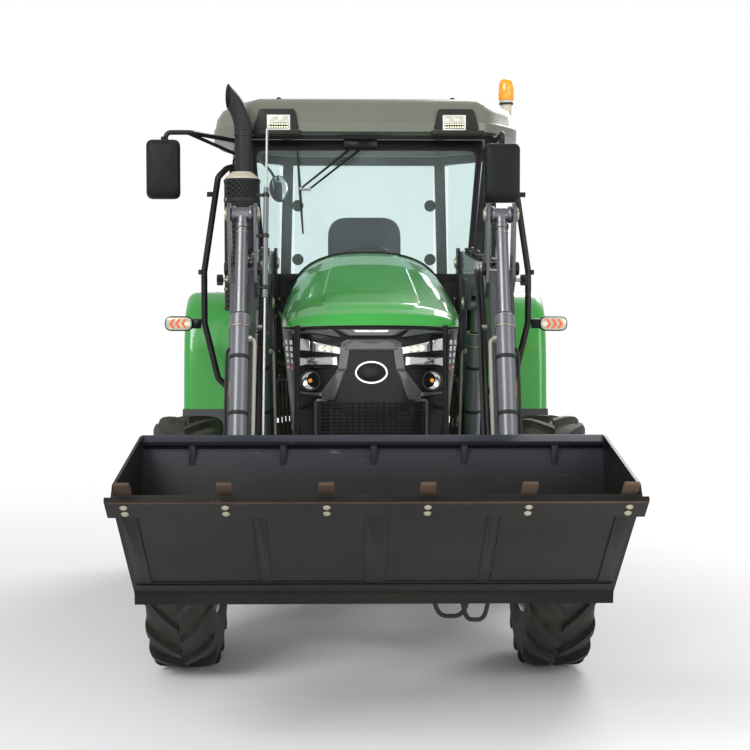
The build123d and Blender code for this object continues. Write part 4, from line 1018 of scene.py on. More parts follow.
class Wheels:
    """Four lugged tyres on dished rims."""

    def __init__(self, shop: Shop) -> None:
        """Keeps the shop."""
        self.shop = shop

    @staticmethod
    def tyre(s: WheelSize) -> Surface:
        """A left tyre: two half carcasses whose grids lean with the lugs.

        A place is the carcass's profile point turned by the column's angle plus a lean that grows
        with the way out from the middle; in a lug's columns it is lifted to the tips' profile.

        Args:
            s: the wheel's sizes.

        Returns:
            The surface.
        """
        half, top, h = s.width / 2, s.radius, s.height
        low = s.rim + 0.0005
        wall = low + (top - low) * 0.45
        # Across, drop below the tips, then the same for a lug's top, both per row.
        rows = np.array([
            (0.00, h, 0.00, h), (0.012, h, 0.012, h), (0.03, h, 0.02, 0.001), (0.20, h, 0.20, 0.001),
            (0.42, h + 0.001, 0.42, 0.002), (0.62, h + 0.003, 0.62, 0.004), (0.80, h + 0.008, 0.82, 0.008),
            (0.90, h + 0.018, 0.93, 0.018), (0.955, h + 0.034, 0.985, 0.034), (0.975, h + 0.052, 0.995, 0.054),
            (0.985, h + 0.075, 0.992, 0.082), (0.985, h + 0.092, 0.985, h + 0.092)])
        tail = np.array([(1.0, top - wall), (0.985, (top - wall) + (wall - low) * 0.35),
            (0.93, (top - wall) + (wall - low) * 0.7), (0.84, top - low - 0.012), (0.80, top - low)])
        rows = np.vstack([rows, np.hstack([tail, tail])])
        pitch = 2 * math.pi / s.lugs
        cols = np.array([0.0, 0.035, 0.24, 0.285, 0.46, 0.64, 0.82])
        lifted = np.array([0.0, 1.0, 1.0, 0.0, 0.0, 0.0, 0.0])
        angles = ((np.arange(s.lugs)[:, None] + cols) * pitch).ravel()
        lug = np.tile(lifted, s.lugs)
        across = rows[:, 0] * half
        lean = np.minimum(1.02 * across + 0.30 * across ** 2 / half, 1.32 * half * 0.97) / top
        lean[12:] = lean[11]
        out = Surface()
        for sign, shift in ((1, 0.0), (-1, 0.5)):
            a = angles[None] + lean[:, None] + shift * pitch
            x = (rows[:, :1] * (1 - lug) + rows[:, 2:3] * lug) * half * sign
            r = top - (rows[:, 1:2] * (1 - lug) + rows[:, 3:4] * lug)
            places = row(s.track / 2, s.hub_y, s.radius) + np.stack([x, -r * np.cos(a), r * np.sin(a)], -1)
            out.grid(places, 0, loop=True, flip=sign < 0)
        for x in (0.62, 0.90):  # raised rings on the outer sidewall
            r = low + (wall - low) * (1.25 if x > 0.7 else 0.5)
            out.turned([(-0.006, r - 0.006), (0.0025, r - 0.003), (0.0025, r + 0.003), (-0.006, r + 0.006)],
                row(s.track / 2 + half * (0.985 if x > 0.7 else 0.975), s.hub_y, s.radius), (1, 0, 0), 90)
        return out

    @staticmethod
    def rim(s: WheelSize) -> Surface:
        """A left rim: drop-centre barrel, dished disc, hub and its nuts.

        Args:
            s: the wheel's sizes.

        Returns:
            The surface.
        """
        half, r, mid = s.width * 0.42, s.rim, row(s.track / 2, s.hub_y, s.radius)
        disc = s.disc_x - s.track / 2
        out = Surface()
        out.turned([(-half, r + 0.016), (-half - 0.004, r + 0.010), (-half, r), (-half * 0.62, r - 0.006),
            (-half * 0.45, r - 0.034), (half * 0.40, r - 0.034), (half * 0.62, r - 0.006), (half, r),
            (half + 0.004, r + 0.010), (half, r + 0.016), (half - 0.004, r + 0.012),
            (half - 0.006, r - 0.008), (half * 0.60, r - 0.016), (half * 0.38, r - 0.043),
            (-half * 0.43, r - 0.043), (-half * 0.60, r - 0.016), (-half + 0.006, r - 0.008),
            (-half, r + 0.016)], mid, (1, 0, 0), 72)
        bowl = [(disc, r - 0.042), (disc + 0.012, r - 0.060), (disc + 0.034, r * 0.72),
            (disc + 0.040, r * 0.60), (disc + 0.016, r * 0.50), (disc + 0.010, s.hub),
            (disc + 0.012, s.hub * 0.9)]
        back = [(x - 0.010, q) for x, q in bowl[::-1]]
        out.turned(bowl + back, mid, (1, 0, 0), 72)
        out.turned([(disc + 0.004, s.hub), (disc + 0.030, s.hub * 0.98), (disc + 0.036, s.hub * 0.9),
            (disc + 0.038, s.hub * 0.62), (disc + 0.058, s.hub * 0.58), (disc + 0.062, s.hub * 0.5),
            (disc + 0.062, 0.0)], mid, (1, 0, 0), 40, 1)
        ring = (r * 0.50 + s.hub) / 2
        for n in range(s.nuts):
            a = 2 * math.pi * n / s.nuts
            spot = mid + np.array([disc + 0.013, ring * math.cos(a), ring * math.sin(a)])
            out.bolt(spot, (1, 0, 0), 0.019, 2)
            out.rod(spot, spot + np.array([0.024, 0, 0]), 0.008, 12, 2)
        return out

    def build(self) -> None:
        """Makes the tyres and rims of both sides."""
        for size in (FRONT_WHEEL, REAR_WHEEL):
            tyre, rim = self.tyre(size), self.rim(size)
            rubber = TyreFinish(f"{size.node}_tyre", AXLE_Y + size.hub_y, size.radius, size.radius)
            for side in Side:
                ends = (tyre, rim) if side is Side.LEFT else (tyre.mirrored(), rim.mirrored())
                body = f"{size.node}_wheel_{side.word}"
                self.shop.piece(f"tyre_{size.node}_{side.word}", ends[0], body, [rubber],
                    [f"{size.node}_tyre_{side.word}"], "tyres", 40.0)
                self.shop.piece(f"rim_{size.node}_{side.word}", ends[1], body, [WHEEL, CASTING, STEEL],
                    [f"{size.node}_rim_{side.word}"], "rims", 35.0)


# ------------------------------------------------------------------ studio
@dataclass(frozen=True)
class Studio:
    """Camera, lamps and floor.

    Args:
        eye: the camera's place, measured like the tractor's lengths.
        pan: degrees turned towards +X from straight back.
        tilt: degrees down.
        lens: focal length for a 36 mm sensor.
    """

    eye: Vec = (-0.09, -6.5, 1.6)
    pan: float = 1.01
    tilt: float = 2.79
    lens: float = 70.85

    def camera(self) -> None:
        """Makes the camera."""
        data = bpy.data.cameras.new("camera")
        data.lens, data.sensor_width = self.lens, 36.0
        obj = bpy.data.objects.new("camera", data)
        bpy.context.scene.collection.objects.link(obj)
        obj.location = row(*self.eye)
        obj.rotation_euler = (math.radians(90 - self.tilt), 0.0, math.radians(-self.pan))
        bpy.context.scene.camera = obj

    @staticmethod
    def lamp(name: str, place: Vec, size: float, power: float, aim: Vec = (0.0, 0.0, 1.2)) -> None:
        """Makes a soft square lamp that looks at a place.

        Args:
            name: name in the file.
            place: where it stands.
            size: length of its side.
            power: strength in watts.
            aim: where it looks.
        """
        data = bpy.data.lights.new(name, "AREA")
        data.size, data.energy = size, power
        obj = bpy.data.objects.new(name, data)
        bpy.context.scene.collection.objects.link(obj)
        obj.location = place
        direction = unit(np.asarray(aim) - np.asarray(place))
        yaw, pitch = math.atan2(direction[1], direction[0]), math.acos(-direction[2])
        obj.rotation_euler = (pitch, 0.0, yaw - math.pi / 2)

    def build(self) -> None:
        """Makes the camera, the lamps, the world and the floor."""
        self.camera()
        self.lamp("key", (-5.0, -7.5, 6.5), 4.5, 620.0)
        self.lamp("fill", (6.5, -6.0, 4.0), 5.0, 260.0)
        self.lamp("rim", (3.0, 7.0, 6.0), 4.0, 420.0)
        self.lamp("low", (0.0, -8.5, 0.9), 3.0, 90.0)
        scene = bpy.context.scene
        scene.view_settings.view_transform = "Standard"
        world = bpy.data.worlds.new("world")
        scene.world = world
        world.use_nodes = True
        tree = world.node_tree
        path = tree.nodes.new("ShaderNodeLightPath").outputs
        most = tree.nodes.new("ShaderNodeMath")
        most.operation = "MAXIMUM"
        tree.links.new(path["Is Camera Ray"], most.inputs[0])
        tree.links.new(path["Is Transmission Ray"], most.inputs[1])
        glossy = tree.nodes.new("ShaderNodeMath")
        glossy.operation, glossy.inputs[1].default_value = "MULTIPLY_ADD", 0.22
        tree.links.new(path["Is Glossy Ray"], glossy.inputs[0])
        tree.links.new(most.outputs[0], glossy.inputs[2])
        level = tree.nodes.new("ShaderNodeMapRange")
        level.inputs["To Min"].default_value, level.inputs["To Max"].default_value = 0.55, 1.0
        tree.links.new(glossy.outputs[0], level.inputs["Value"])
        back = tree.nodes["Background"]
        back.inputs["Color"].default_value = (1.0, 1.0, 1.0, 1.0)
        tree.links.new(level.outputs["Result"], back.inputs["Strength"])
        self.floor()

    @staticmethod
    def floor() -> None:
        """A pale round floor that fades out into the backdrop."""
        g = Graph("floor")
        g.set(Base_Color=(0.86, 0.86, 0.86), Roughness=0.85)
        distance = (g.x * g.x + g.y * g.y) ** 0.5
        clear = g.node("ShaderNodeBsdfTransparent", None, (1.0, 1.0, 1.0, 1.0))
        mixed = g.node("ShaderNodeMixShader", None, distance.between(2.6, 6.5), Value(g, g.shader.outputs[0]),
            clear)
        g.feed(g.tree.nodes["Material Output"].inputs["Surface"], mixed)
        disc = Surface().turned([(0.0, 7.0), (0.0, 4.0), (0.0, 0.0)], (0, 0, 0), (0, 0, 1), 64)
        mesh = bpy.data.meshes.new("floor")
        mesh.from_pydata(np.concatenate(disc.points).tolist(), [], disc.faces)
        mesh.materials.append(g.material)
        obj = bpy.data.objects.new("floor", mesh)
        bpy.context.scene.collection.objects.link(obj)


# ------------------------------------------------------------------ bucket
@dataclass(frozen=True)
class BucketSize:
    """The bucket's section and its edge.

    Args:
        lip: front edge (behind the axle, above ground).
        bend: where the floor meets the heel.
        top: upper edge of the back.
        half: half width of the shell.
        edge_half: half width of the cutting edge.
        edge_depth: height of the cutting edge along the floor.
        edge_t: its thickness.
        teeth: how many teeth.
        tooth_x: place of the outermost tooth.
        tooth_w: width of a tooth.
        tooth_out: how far a tooth passes the lip.
        wall: thickness of the floor plate.
    """

    lip: Vec = (-1.823, 0.980)
    bend: Vec = (-1.321, 0.577)
    top: Vec = (-1.100, 1.117)
    half: float = 0.848
    edge_half: float = 0.868
    edge_depth: float = 0.095
    edge_t: float = 0.016
    teeth: int = 6
    tooth_x: float = 0.809
    tooth_w: float = 0.050
    tooth_out: float = 0.060
    wall: float = 0.0103


class Bucket:
    """Teeth with their bolts, the cutting edge's worn line, weld seams, strips and wear plates."""

    def __init__(self, shop: Shop, size: BucketSize = BucketSize()) -> None:
        """Keeps the shop and the sizes.

        Args:
            shop: makes the objects.
            size: its sizes.
        """
        self.shop, self.size = shop, size
        lip, bend = np.array(size.lip), np.array(size.bend)
        self.length = float(np.linalg.norm(bend - lip))
        self.along = (bend - lip) / self.length
        self.out = np.array([self.along[1], -self.along[0]])

    def at(self, x: float, down: float, out: float) -> np.ndarray:
        """A place on the floor plate: down from the lip, out from its underside."""
        y, z = np.array(self.size.lip) + self.along * down + self.out * out
        return row(x, y, z)

    def plate(self, x: float, down: float, out: float = 0.0) -> Frame:
        """A drawing frame on the underside: across, and up towards the lip."""
        return Frame(self.at(x, down, out), (1, 0, 0), (0, *-self.along))

    def teeth(self) -> Surface:
        """Worn flat teeth on the edge's inner face, a bent bar each, with a thinner tip.

        Returns:
            The surface.
        """
        s, made = self.size, Surface()
        down = np.array([-s.tooth_out, -s.tooth_out + 0.006, -0.02, 0.03, 0.084, 0.090])
        thick = np.array([0.010, 0.015, 0.018, 0.020, 0.020, 0.014])
        half = s.tooth_w / 2 * np.array([0.90, 1.0, 1.0, 0.96, 0.96, 0.90])
        section = box_outline(2.0, 1.0, 0.16, 3)
        for n in range(s.teeth):
            x = (2 * n / (s.teeth - 1) - 1) * s.tooth_x
            y, z = np.array(s.lip)[:, None] + self.along[:, None] * down - self.out[:, None] * (s.wall + thick
                / 2)
            middle = np.stack([np.full_like(y, x), AXLE_Y + y, z], 1)
            rings = (middle[:, None] + (section[:, 0] * half[:, None])[..., None] * np.array([1.0, 0, 0])
                + (section[:, 1] * thick[:, None])[..., None] * np.array([0.0, *-self.out]))
            made.grid(rings, 0, loop=True, cap=True)
        return made

    def fastenings(self) -> Surface:
        """Domed bolts, two under each tooth, on the outer face of the cutting edge.

        Returns:
            The surface.
        """
        s, made = self.size, Surface()
        dome = [(0.0, 0.0125), (0.0018, 0.0125), (0.0052, 0.0098), (0.0074, 0.0052), (0.0080, 0.0)]
        for n in range(s.teeth):
            x = (2 * n / (s.teeth - 1) - 1) * s.tooth_x
            for down in (0.030, 0.068):
                made.turned(dome, self.at(x, down, s.edge_t), (0, *self.out), 18)
        return made

    def seams(self) -> Surface:
        """Upright weld beads on the underside, a row of small ripples along each.

        Returns:
            The surface.
        """
        s, made = self.size, Surface()
        down = np.linspace(s.edge_depth + 0.012, self.length - 0.085, 130)
        ripple = 0.0036 + 0.0007 * np.sin(down * 520.0) + 0.0004 * np.sin(down * 171.0)
        for x in (-0.795, -0.405, 0.0, 0.405, 0.795):
            path = np.stack([self.at(x + 0.0015 * math.sin(31 * d), d, 0.0005) for d in down])
            made.tube(path, ripple, 7)
        across = np.linspace(-s.half + 0.02, s.half - 0.02, 420)
        bead = 0.0040 + 0.0008 * np.sin(across * 430.0) + 0.0004 * np.sin(across * 97.0)
        for depth in (s.edge_depth + 0.003, self.length - 0.080):
            made.tube(np.stack([self.at(x, depth, 0.001) for x in across]), bead, 7)
        return made

    def strips(self) -> Surface:
        """The heel's wear strip, a rib down the middle and pads on the side plates.

        Returns:
            The surface.
        """
        s, made = self.size, Surface()
        made.slab(box_outline(2 * s.half - 0.03, 0.062, 0.004), self.plate(0, self.length - 0.042), 0.008,
            0.002)
        run = self.length - s.edge_depth - 0.10
        middle = s.edge_depth + 0.01 + run / 2
        for x in (-0.805, 0.805):
            made.slab(box_outline(0.055, run, 0.004), self.plate(x, middle), 0.006, 0.002)
        for x in (-0.375, 0.375):
            made.slab(box_outline(0.030, run, 0.003), self.plate(x, middle), 0.004, 0.0015)
        made.slab(box_outline(0.075, run, 0.004), self.plate(0, middle), 0.005, 0.002)
        return made

    def rim(self) -> Surface:
        """A bar along the top edge of the back, and five short ribs under it.

        Returns:
            The surface.
        """
        s, made = self.size, Surface()
        y, z = s.top
        made.box((-s.half + 0.004, y - 0.004, z - 0.052), (s.half - 0.004, y + 0.010, z - 0.006), 0.004,
            facing="back")
        for n in range(5):
            x = -0.66 + 0.33 * n
            made.box((x - 0.012, y - 0.050, z - 0.110), (x + 0.012, y - 0.011, z - 0.034), 0.003,
                facing="left")
        return made

    def build(self) -> None:
        """Makes the bucket's pieces."""
        s = self.size
        edge = Surface().slab(box_outline(2 * s.edge_half - 0.012, 0.010, 0.003),
            self.plate(0, 0.002, s.edge_t), 0.0012, 0.0005)
        paint = BucketFinish("bucket_paint", 0.98, -1.60)
        self.shop.piece("tooth_bars", self.teeth(), "bucket", (RUST,), ("bucket_teeth",), "tooth_steel")
        self.shop.piece("edge_bolts", self.fastenings(), "bucket", (ZINC,), slot="steel")
        self.shop.piece("edge_worn_line", edge, "bucket", (RUST,), slot="tooth_steel")
        self.shop.piece("bucket_seams", self.seams(), "bucket", (paint,), slot="bucket_paint")
        self.shop.piece("bucket_strips", self.strips(), "bucket", (paint,), slot="bucket_paint")
        self.shop.piece("bucket_rim", self.rim(), "bucket", (paint,), slot="bucket_paint")


# ------------------------------------------------------------------ hood and nose
class Hood:
    """Opening hood: a crowned shell with a raised middle field, its lip, cowl band and badge-free nose."""

    Y_STATIONS = (-0.524, -0.50, -0.42, -0.25, 0.0, 0.30, 0.62, 0.94)
    HALF = (0.322, 0.345, 0.363, 0.376, 0.382, 0.385, 0.387, 0.388)
    CREST = (1.520, 1.556, 1.590, 1.640, 1.700, 1.768, 1.818, 1.851)
    LOW = 1.503

    def __init__(self, shop: Shop) -> None:
        """Keeps the shop."""
        self.shop = shop

    def skin(self, y: np.ndarray, t: np.ndarray, lift: float = 0.0) -> np.ndarray:
        """Places on the hood.

        Args:
            y: rows, behind the axle.
            t: columns, -1 at the right edge to 1 at the left.
            lift: height over the skin.

        Returns:
            The places.
        """
        half, crest = np.interp(y, self.Y_STATIONS, self.HALF), np.interp(y, self.Y_STATIONS, self.CREST)
        a = t[None, :] * (math.pi / 2)
        x = half[:, None] * np.sign(a) * np.abs(np.sin(a)) ** 0.80
        rise = np.abs(np.cos(a)) ** 0.62
        z = self.LOW + (crest - self.LOW)[:, None] * rise + lift
        return np.stack([x, np.broadcast_to(AXLE_Y + y[:, None], x.shape), z], -1)

    def shell(self) -> Surface:
        """Outer skin, rolled under along its lower edge, and the inner skin.

        Returns:
            The surface.
        """
        y = np.unique(np.concatenate([np.linspace(-0.524, -0.42, 12), np.linspace(-0.42, 0.94, 46)]))
        t = np.linspace(-1, 1, 81)
        outer, inner = self.skin(y, t), self.skin(y, t)
        inner[..., 0] *= 0.978
        inner[..., 2] = np.maximum(inner[..., 2] - 0.010, self.LOW)
        section = np.concatenate([outer, inner[:, ::-1]], 1)
        made = Surface().grid(section, 0, loop=True, cap=True)
        return made

    def field(self) -> Surface:
        """Raised middle field, wide at the nose and narrower towards the cab.

        Returns:
            The surface.
        """
        y = np.linspace(-0.455, 0.86, 56)
        across = np.linspace(-1, 1, 49)
        share = np.interp(y, (-0.455, -0.36, 0.30, 0.86), (0.50, 0.56, 0.47, 0.40))
        skirt = np.clip((1 - np.abs(across)) / 0.08, 0, 1)[None, :]
        ends = np.clip(np.minimum(y - y[0], y[-1] - y) / 0.035, 0, 1)[:, None]
        rise = np.sin(np.minimum(skirt, ends) * math.pi / 2) * 0.0075 - 0.0015
        rows = []
        half, crest = np.interp(y, self.Y_STATIONS, self.HALF), np.interp(y, self.Y_STATIONS, self.CREST)
        x = half[:, None] * share[:, None] * across[None, :]
        sine = np.clip(np.abs(x) / half[:, None], 0, 1) ** (1 / 0.80)
        z = self.LOW + (crest - self.LOW)[:, None] * np.sqrt(1 - sine ** 2) ** 0.62 + rise
        rows = np.stack([x, np.broadcast_to(AXLE_Y + y[:, None], x.shape), z], -1)
        return Surface().grid(rows, 0)

    def lip(self) -> Surface:
        """Seal under the hood's edge, round the nose and back along both sides.

        Returns:
            The surface.
        """
        y = np.linspace(-0.522, 0.93, 40)
        half = np.interp(y, self.Y_STATIONS, self.HALF) - 0.008
        side = np.stack([half, AXLE_Y + y, np.full_like(y, self.LOW - 0.003)], 1)
        front = np.stack([np.linspace(-half[0], half[0], 20)[1:-1], np.full(18, AXLE_Y - 0.520),
            np.full(18, self.LOW - 0.003)], 1)
        path = np.vstack([side[::-1] * (-1, 1, 1), front, side])
        return Surface().tube(path, 0.006, 8)

    def cowl(self) -> Surface:
        """Black band behind the hood's rear edge, in the hood's own arch and standing a little out.

        Returns:
            The surface.
        """
        y = np.array([0.942, 0.950, 0.975, 0.985])
        t = np.linspace(-0.96, 0.96, 61)
        out, t_in = self.skin(y, t), self.skin(y, t)
        centre = np.array([0.0, 0.0, self.LOW])
        grow = np.array([1.0, 1.024, 1.024, 1.006])[:, None, None]
        out[..., [0, 2]] = (out - centre)[..., [0, 2]] * grow[..., [0, 0]] + centre[[0, 2]]
        t_in[..., [0, 2]] = (t_in - centre)[..., [0, 2]] * 0.93 + centre[[0, 2]]
        return Surface().grid(np.concatenate([out, t_in[::-1]]), 0, ring=True)

    def build(self) -> None:
        """Makes the hood's pieces."""
        self.shop.piece("hood_shell", self.shell(), "hood", (GREEN,), ("hood",), "green_paint", sharp=50)
        self.shop.piece("hood_field", self.field(), "hood", (GREEN,), slot="green_paint", sharp=60)
        self.shop.piece("hood_seal", self.lip(), "hood", (SOFT_RUBBER,), slot="black_plastic")
        self.shop.piece("hood_cowl", self.cowl(), "hood", (PLASTIC,), slot="black_plastic")


class Nose:
    """Black front cover: rounded mask, lamp clusters with chrome strips, fog lamps, trim, disc and grille."""

    CORNERS = ((0.0, -0.560), (0.150, -0.556), (0.250, -0.535), (0.325, -0.490), (0.358, -0.400),
        (0.372, -0.262))

    def __init__(self, shop: Shop) -> None:
        """Keeps the shop."""
        self.shop = shop

    def front(self, x: float, z: float, out: float = 0.0) -> np.ndarray:
        """A place on the mask's face at a width and height, raised by out.

        Args:
            x: across.
            z: up.
            out: lift off the face.

        Returns:
            The places.
        """
        xs = np.array([c[0] for c in self.CORNERS]) * self.share(z)
        ys = np.array([c[1] for c in self.CORNERS])
        bulge = 0.006 * math.sin(max(0.0, min(1.0, (z - 1.22) / 0.27)) * math.pi)
        return row(x, float(np.interp(abs(x), xs, ys)) - out - bulge, z)

    @staticmethod
    def share(z: Union[float, np.ndarray]) -> Union[float, np.ndarray]:
        """Width of the mask at a height, as a share of its width under the hood."""
        return 0.855 + 0.145 * (np.asarray(z) - 0.960) / 0.535

    def mask(self) -> Surface:
        """The cover's skin, carried from its foot up to the hood's edge.

        Returns:
            The surface.
        """
        half = smooth_path([(x, y) for x, y in self.CORNERS], 7)
        plan = np.vstack([half[::-1] * (-1, 1), half[1:]])
        z = np.array([0.852, 0.858, 0.95, 1.08, 1.20, 1.28, 1.36, 1.44, 1.488, 1.497])
        tuck = np.array([0.010, 0.0, 0.0, 0.0, 0.0, -0.004, -0.006, -0.003, 0.0, 0.008])
        skin = np.stack([plan[None, :, 0] * self.share(z)[:, None], AXLE_Y + plan[None, :, 1] + tuck[:, None],
            np.broadcast_to(z[:, None], (len(z), len(plan)))], -1)
        back = skin + np.array([0.0, 0.012, 0.0])
        return Surface().grid(np.concatenate([skin, back[::-1]]), 0, ring=True)

    def patch(self, corners: Sequence[Vec], out: float, slot: int, made: Surface, thick: float = 0.006,
            radius: float = 0.008) -> None:
        """Adds a curved plate that follows the mask's face, from corners in (across, up).

        Args:
            corners: corners in (across, up).
            out: lift off the face.
            slot: which of the piece's finishes.
            made: the surface to add to.
            thick: thickness at the edge.
            radius: radius or reach of the rounding.
        """
        edge = rounded(corners, radius, 4)
        middle = edge.mean(0)
        rings = np.stack([middle + (edge - middle) * s for s in (0.001, 0.34, 0.67, 0.94, 1.0, 1.0)])
        lift = np.array([out, out, out, out, out - 0.0015, out - thick])
        places = np.array([[self.front(x, z, h) for x, z in ring] for ring, h in zip(rings, lift)])
        turn = np.sum(edge[:, 0] * np.roll(edge[:, 1], -1) - np.roll(edge[:, 0], -1) * edge[:, 1]) > 0
        made.grid(places, slot, loop=True, flip=bool(turn))

    def lamps(self) -> Surface:
        """Upper lamp cluster of the left side: housing, reflector bowls and chrome strips.

        Returns:
            The surface.
        """
        made = Surface()
        plates = (
            (((0.122, 1.336), (0.352, 1.330), (0.358, 1.468), (0.300, 1.466), (0.118, 1.432)), 0.004, 0),
            (((0.120, 1.396), (0.238, 1.406), (0.238, 1.446), (0.124, 1.422)), 0.012, 1),
            (((0.247, 1.407), (0.292, 1.409), (0.300, 1.461), (0.249, 1.450)), 0.012, 1),
            (((0.136, 1.350), (0.300, 1.345), (0.300, 1.381), (0.138, 1.385)), 0.017, 2),
            (((0.140, 1.338), (0.296, 1.334), (0.296, 1.342), (0.142, 1.346)), 0.012, 0),
            (((0.300, 1.316), (0.352, 1.322), (0.360, 1.462), (0.318, 1.468)), 0.009, 0),
        )
        for corners, out, slot in plates:
            self.patch(corners, out, slot, made, 0.010, 0.004)
        for x in (0.145, 0.173, 0.201):
            made.turned([(0.012, 0.0), (0.013, 0.008), (0.016, 0.011), (0.018, 0.012)],
                self.front(x, 1.398 + 0.10 * x), (0, -1, 0.05), 14, 3)
        for z in (1.336, 1.362, 1.388, 1.414, 1.440):
            self.patch(((0.318, z - 0.009), (0.351, z - 0.009), (0.354, z + 0.009), (0.320, z + 0.009)),
                0.014, 4 if z < 1.34 else 1, made, 0.006, 0.003)
        return made

    def fogs(self) -> Surface:
        """Round fog lamp of the left side: bezel, bowl, bulb and ring.

        Returns:
            The surface.
        """
        made = Surface()
        place = self.front(0.246, 1.287, 0.004)
        made.turned([(-0.010, 0.044), (0.006, 0.044), (0.012, 0.041), (0.012, 0.036), (0.004, 0.034)], place,
            (0, -1, 0), 36, 0)
        made.turned([(0.004, 0.034), (-0.004, 0.024), (-0.009, 0.010), (-0.010, 0.0)], place, (0, -1, 0), 32,
            1)
        made.turned([(-0.010, 0.0085), (0.0, 0.0085), (0.005, 0.005), (0.006, 0.0)], place, (0, -1, 0), 20, 2)
        return made

    def trim(self) -> Surface:
        """Grey trim: bars under the hood's edge, the slanting arms and the frame round the middle disc.

        Returns:
            The surface.
        """
        made = Surface()
        plates = [
            ((-0.098, 1.470), (0.098, 1.470), (0.140, 1.494), (-0.140, 1.494)),
            ((-0.112, 1.410), (0.112, 1.410), (0.120, 1.440), (0.094, 1.454), (-0.094, 1.454), (-0.120, 1.440)),
        ]
        for side in (-1, 1):
            for half in (
                ((0.122, 1.464), (0.345, 1.474), (0.342, 1.494), (0.156, 1.494)),
                ((0.084, 1.442), (0.121, 1.442), (0.136, 1.325), (0.101, 1.325)),
                ((0.101, 1.332), (0.136, 1.332), (0.206, 1.238), (0.198, 1.212), (0.150, 1.212)),
                ((0.196, 1.222), (0.326, 1.232), (0.326, 1.246), (0.200, 1.240)),
            ):
                plates.append([(side * x, z) for x, z in half])
        for corners in plates:
            self.patch(corners, 0.014, 0, made, 0.012, 0.005)
        self.patch(((-0.064, 1.484), (0.064, 1.484), (0.080, 1.492), (-0.080, 1.492)), 0.018, 1, made, 0.006,
            0.002)
        return made

    def disc(self) -> Surface:
        """Plain oval disc in a bright ring.

        Returns:
            The surface.
        """
        made, frame = Surface(), flat(self.front(0, 1.322, -0.004), "front")
        oval = disc_outline(1.0, 48) * (0.066, 0.046)
        made.slab(oval * 0.86, frame, 0.018, 0.003, 1)
        ring = np.linspace(0, 2 * math.pi, 48, endpoint=False)
        path = frame.place(np.stack([0.062 * np.cos(ring), 0.042 * np.sin(ring)], 1), 0.016)
        sides = np.linspace(0, 2 * math.pi, 10, endpoint=False)
        out = np.stack([np.cos(ring), np.zeros(48), np.sin(ring)], 1)
        rings = (path[:, None] + 0.0055 * (np.cos(sides)[None, :, None] * out[:, None]
            + np.sin(sides)[None, :, None] * np.array([0.0, -1.0, 0.0])))
        made.grid(rings, 0, loop=True, ring=True)
        return made

    def grille(self) -> Surface:
        """Fine lattice in the lower opening: slanting bars both ways on a dark plate of painted shade, in a
        frame.

        Returns:
            The surface.
        """
        made = Surface()
        # painted shade: a near-black plate where the opening behind the lattice lies in shadow
        self.patch(((-0.222, 0.885), (0.222, 0.885), (0.226, 1.212), (-0.226, 1.212)), 0.003, 1, made, 0.004,
            0.012)
        z = np.arange(0.905, 1.200, 0.0145)
        for level in z:
            path = np.array([self.front(x, level, 0.006) for x in np.linspace(-0.212, 0.212, 19)])
            made.tube(path, 0.0028, 6, 0)
        for x in np.linspace(-0.2, 0.2, 17):
            path = np.array([self.front(x, level, 0.0085) for level in np.linspace(0.898, 1.202, 8)])
            made.tube(path, 0.0024, 6, 0)
        edge = rounded(((-0.222, 0.890), (0.222, 0.890), (0.226, 1.208), (-0.226, 1.208)), 0.014, 5)
        loop = np.array([self.front(px, pz, 0.006) for px, pz in np.vstack([edge, edge[:1]])])
        made.tube(loop, 0.0065, 8, 2)
        return made

    def build(self) -> None:
        """Makes the nose's pieces."""
        piece = self.shop.piece
        piece("nose_cover", self.mask(), "chassis", (SATIN,), ("nose_mask",), "black_plastic", sharp=50)
        piece("head_lamps", self.lamps().both(), "chassis", (SATIN, SILVER, SILVER, LED, RED), ("headlamps",),
            "lamps")
        piece("fog_lamps", self.fogs().both(), "chassis", (SATIN, SILVER, AMBER), slot="lamps")
        piece("nose_trim", self.trim(), "chassis", (GREY_TRIM, SILVER), slot="black_plastic")
        piece("nose_disc", self.disc(), "chassis", (SILVER, SATIN), slot="black_plastic")
        piece("nose_lattice", self.grille(), "chassis", (SATIN, RECESS, GREY_TRIM), ("nose_grille",),
            "black_plastic")


# ------------------------------------------------------------------ loader
@dataclass(frozen=True)
class Ram:
    """One cylinder's line.

    Args:
        base: barrel's end pin (behind the axle, above ground).
        eye: rod's end pin.
        barrel: radius of the barrel.
        length: barrel's length from the base pin.
        rod: radius of the rod.
        x: distance from the tractor's middle.
    """

    base: Vec
    eye: Vec
    barrel: float
    length: float
    rod: float
    x: float = 0.505

    @property
    def along(self) -> np.ndarray:
        """Direction from the base to the eye."""
        return unit((0, self.eye[0] - self.base[0], self.eye[1] - self.base[1]))

    @property
    def ahead(self) -> np.ndarray:
        """Direction square to the line, forward of it."""
        return np.cross(self.along, (1, 0, 0))

    def at(self, d: float, across: float = 0.0, ahead: float = 0.0) -> np.ndarray:
        """A place d along the line, moved across and forward."""
        return row(self.x + across, *self.base) + self.along * d + self.ahead * ahead

    def collar(self, made: Surface, d: float, width: float, radius: float, slot: int = 0) -> None:
        """Adds a band with rounded rims round the line.

        Args:
            made: the surface to add to.
            d: distance along the line.
            width: width along its axis.
            radius: radius over the band.
            slot: which of the piece's finishes.
        """
        rim = min(0.002, width * 0.3)
        made.turned([(0, radius - 0.012), (0, radius - rim), (rim, radius), (width - rim, radius),
            (width, radius - rim), (width, radius - 0.012)], self.at(d), self.along, 40, slot)


DUMP = Ram((-1.120, 0.805), (-0.715, 1.945), 0.035, 0.790, 0.024)
LIFT = Ram((0.700, 0.700), (0.400, 1.600), 0.038, 0.800, 0.022)


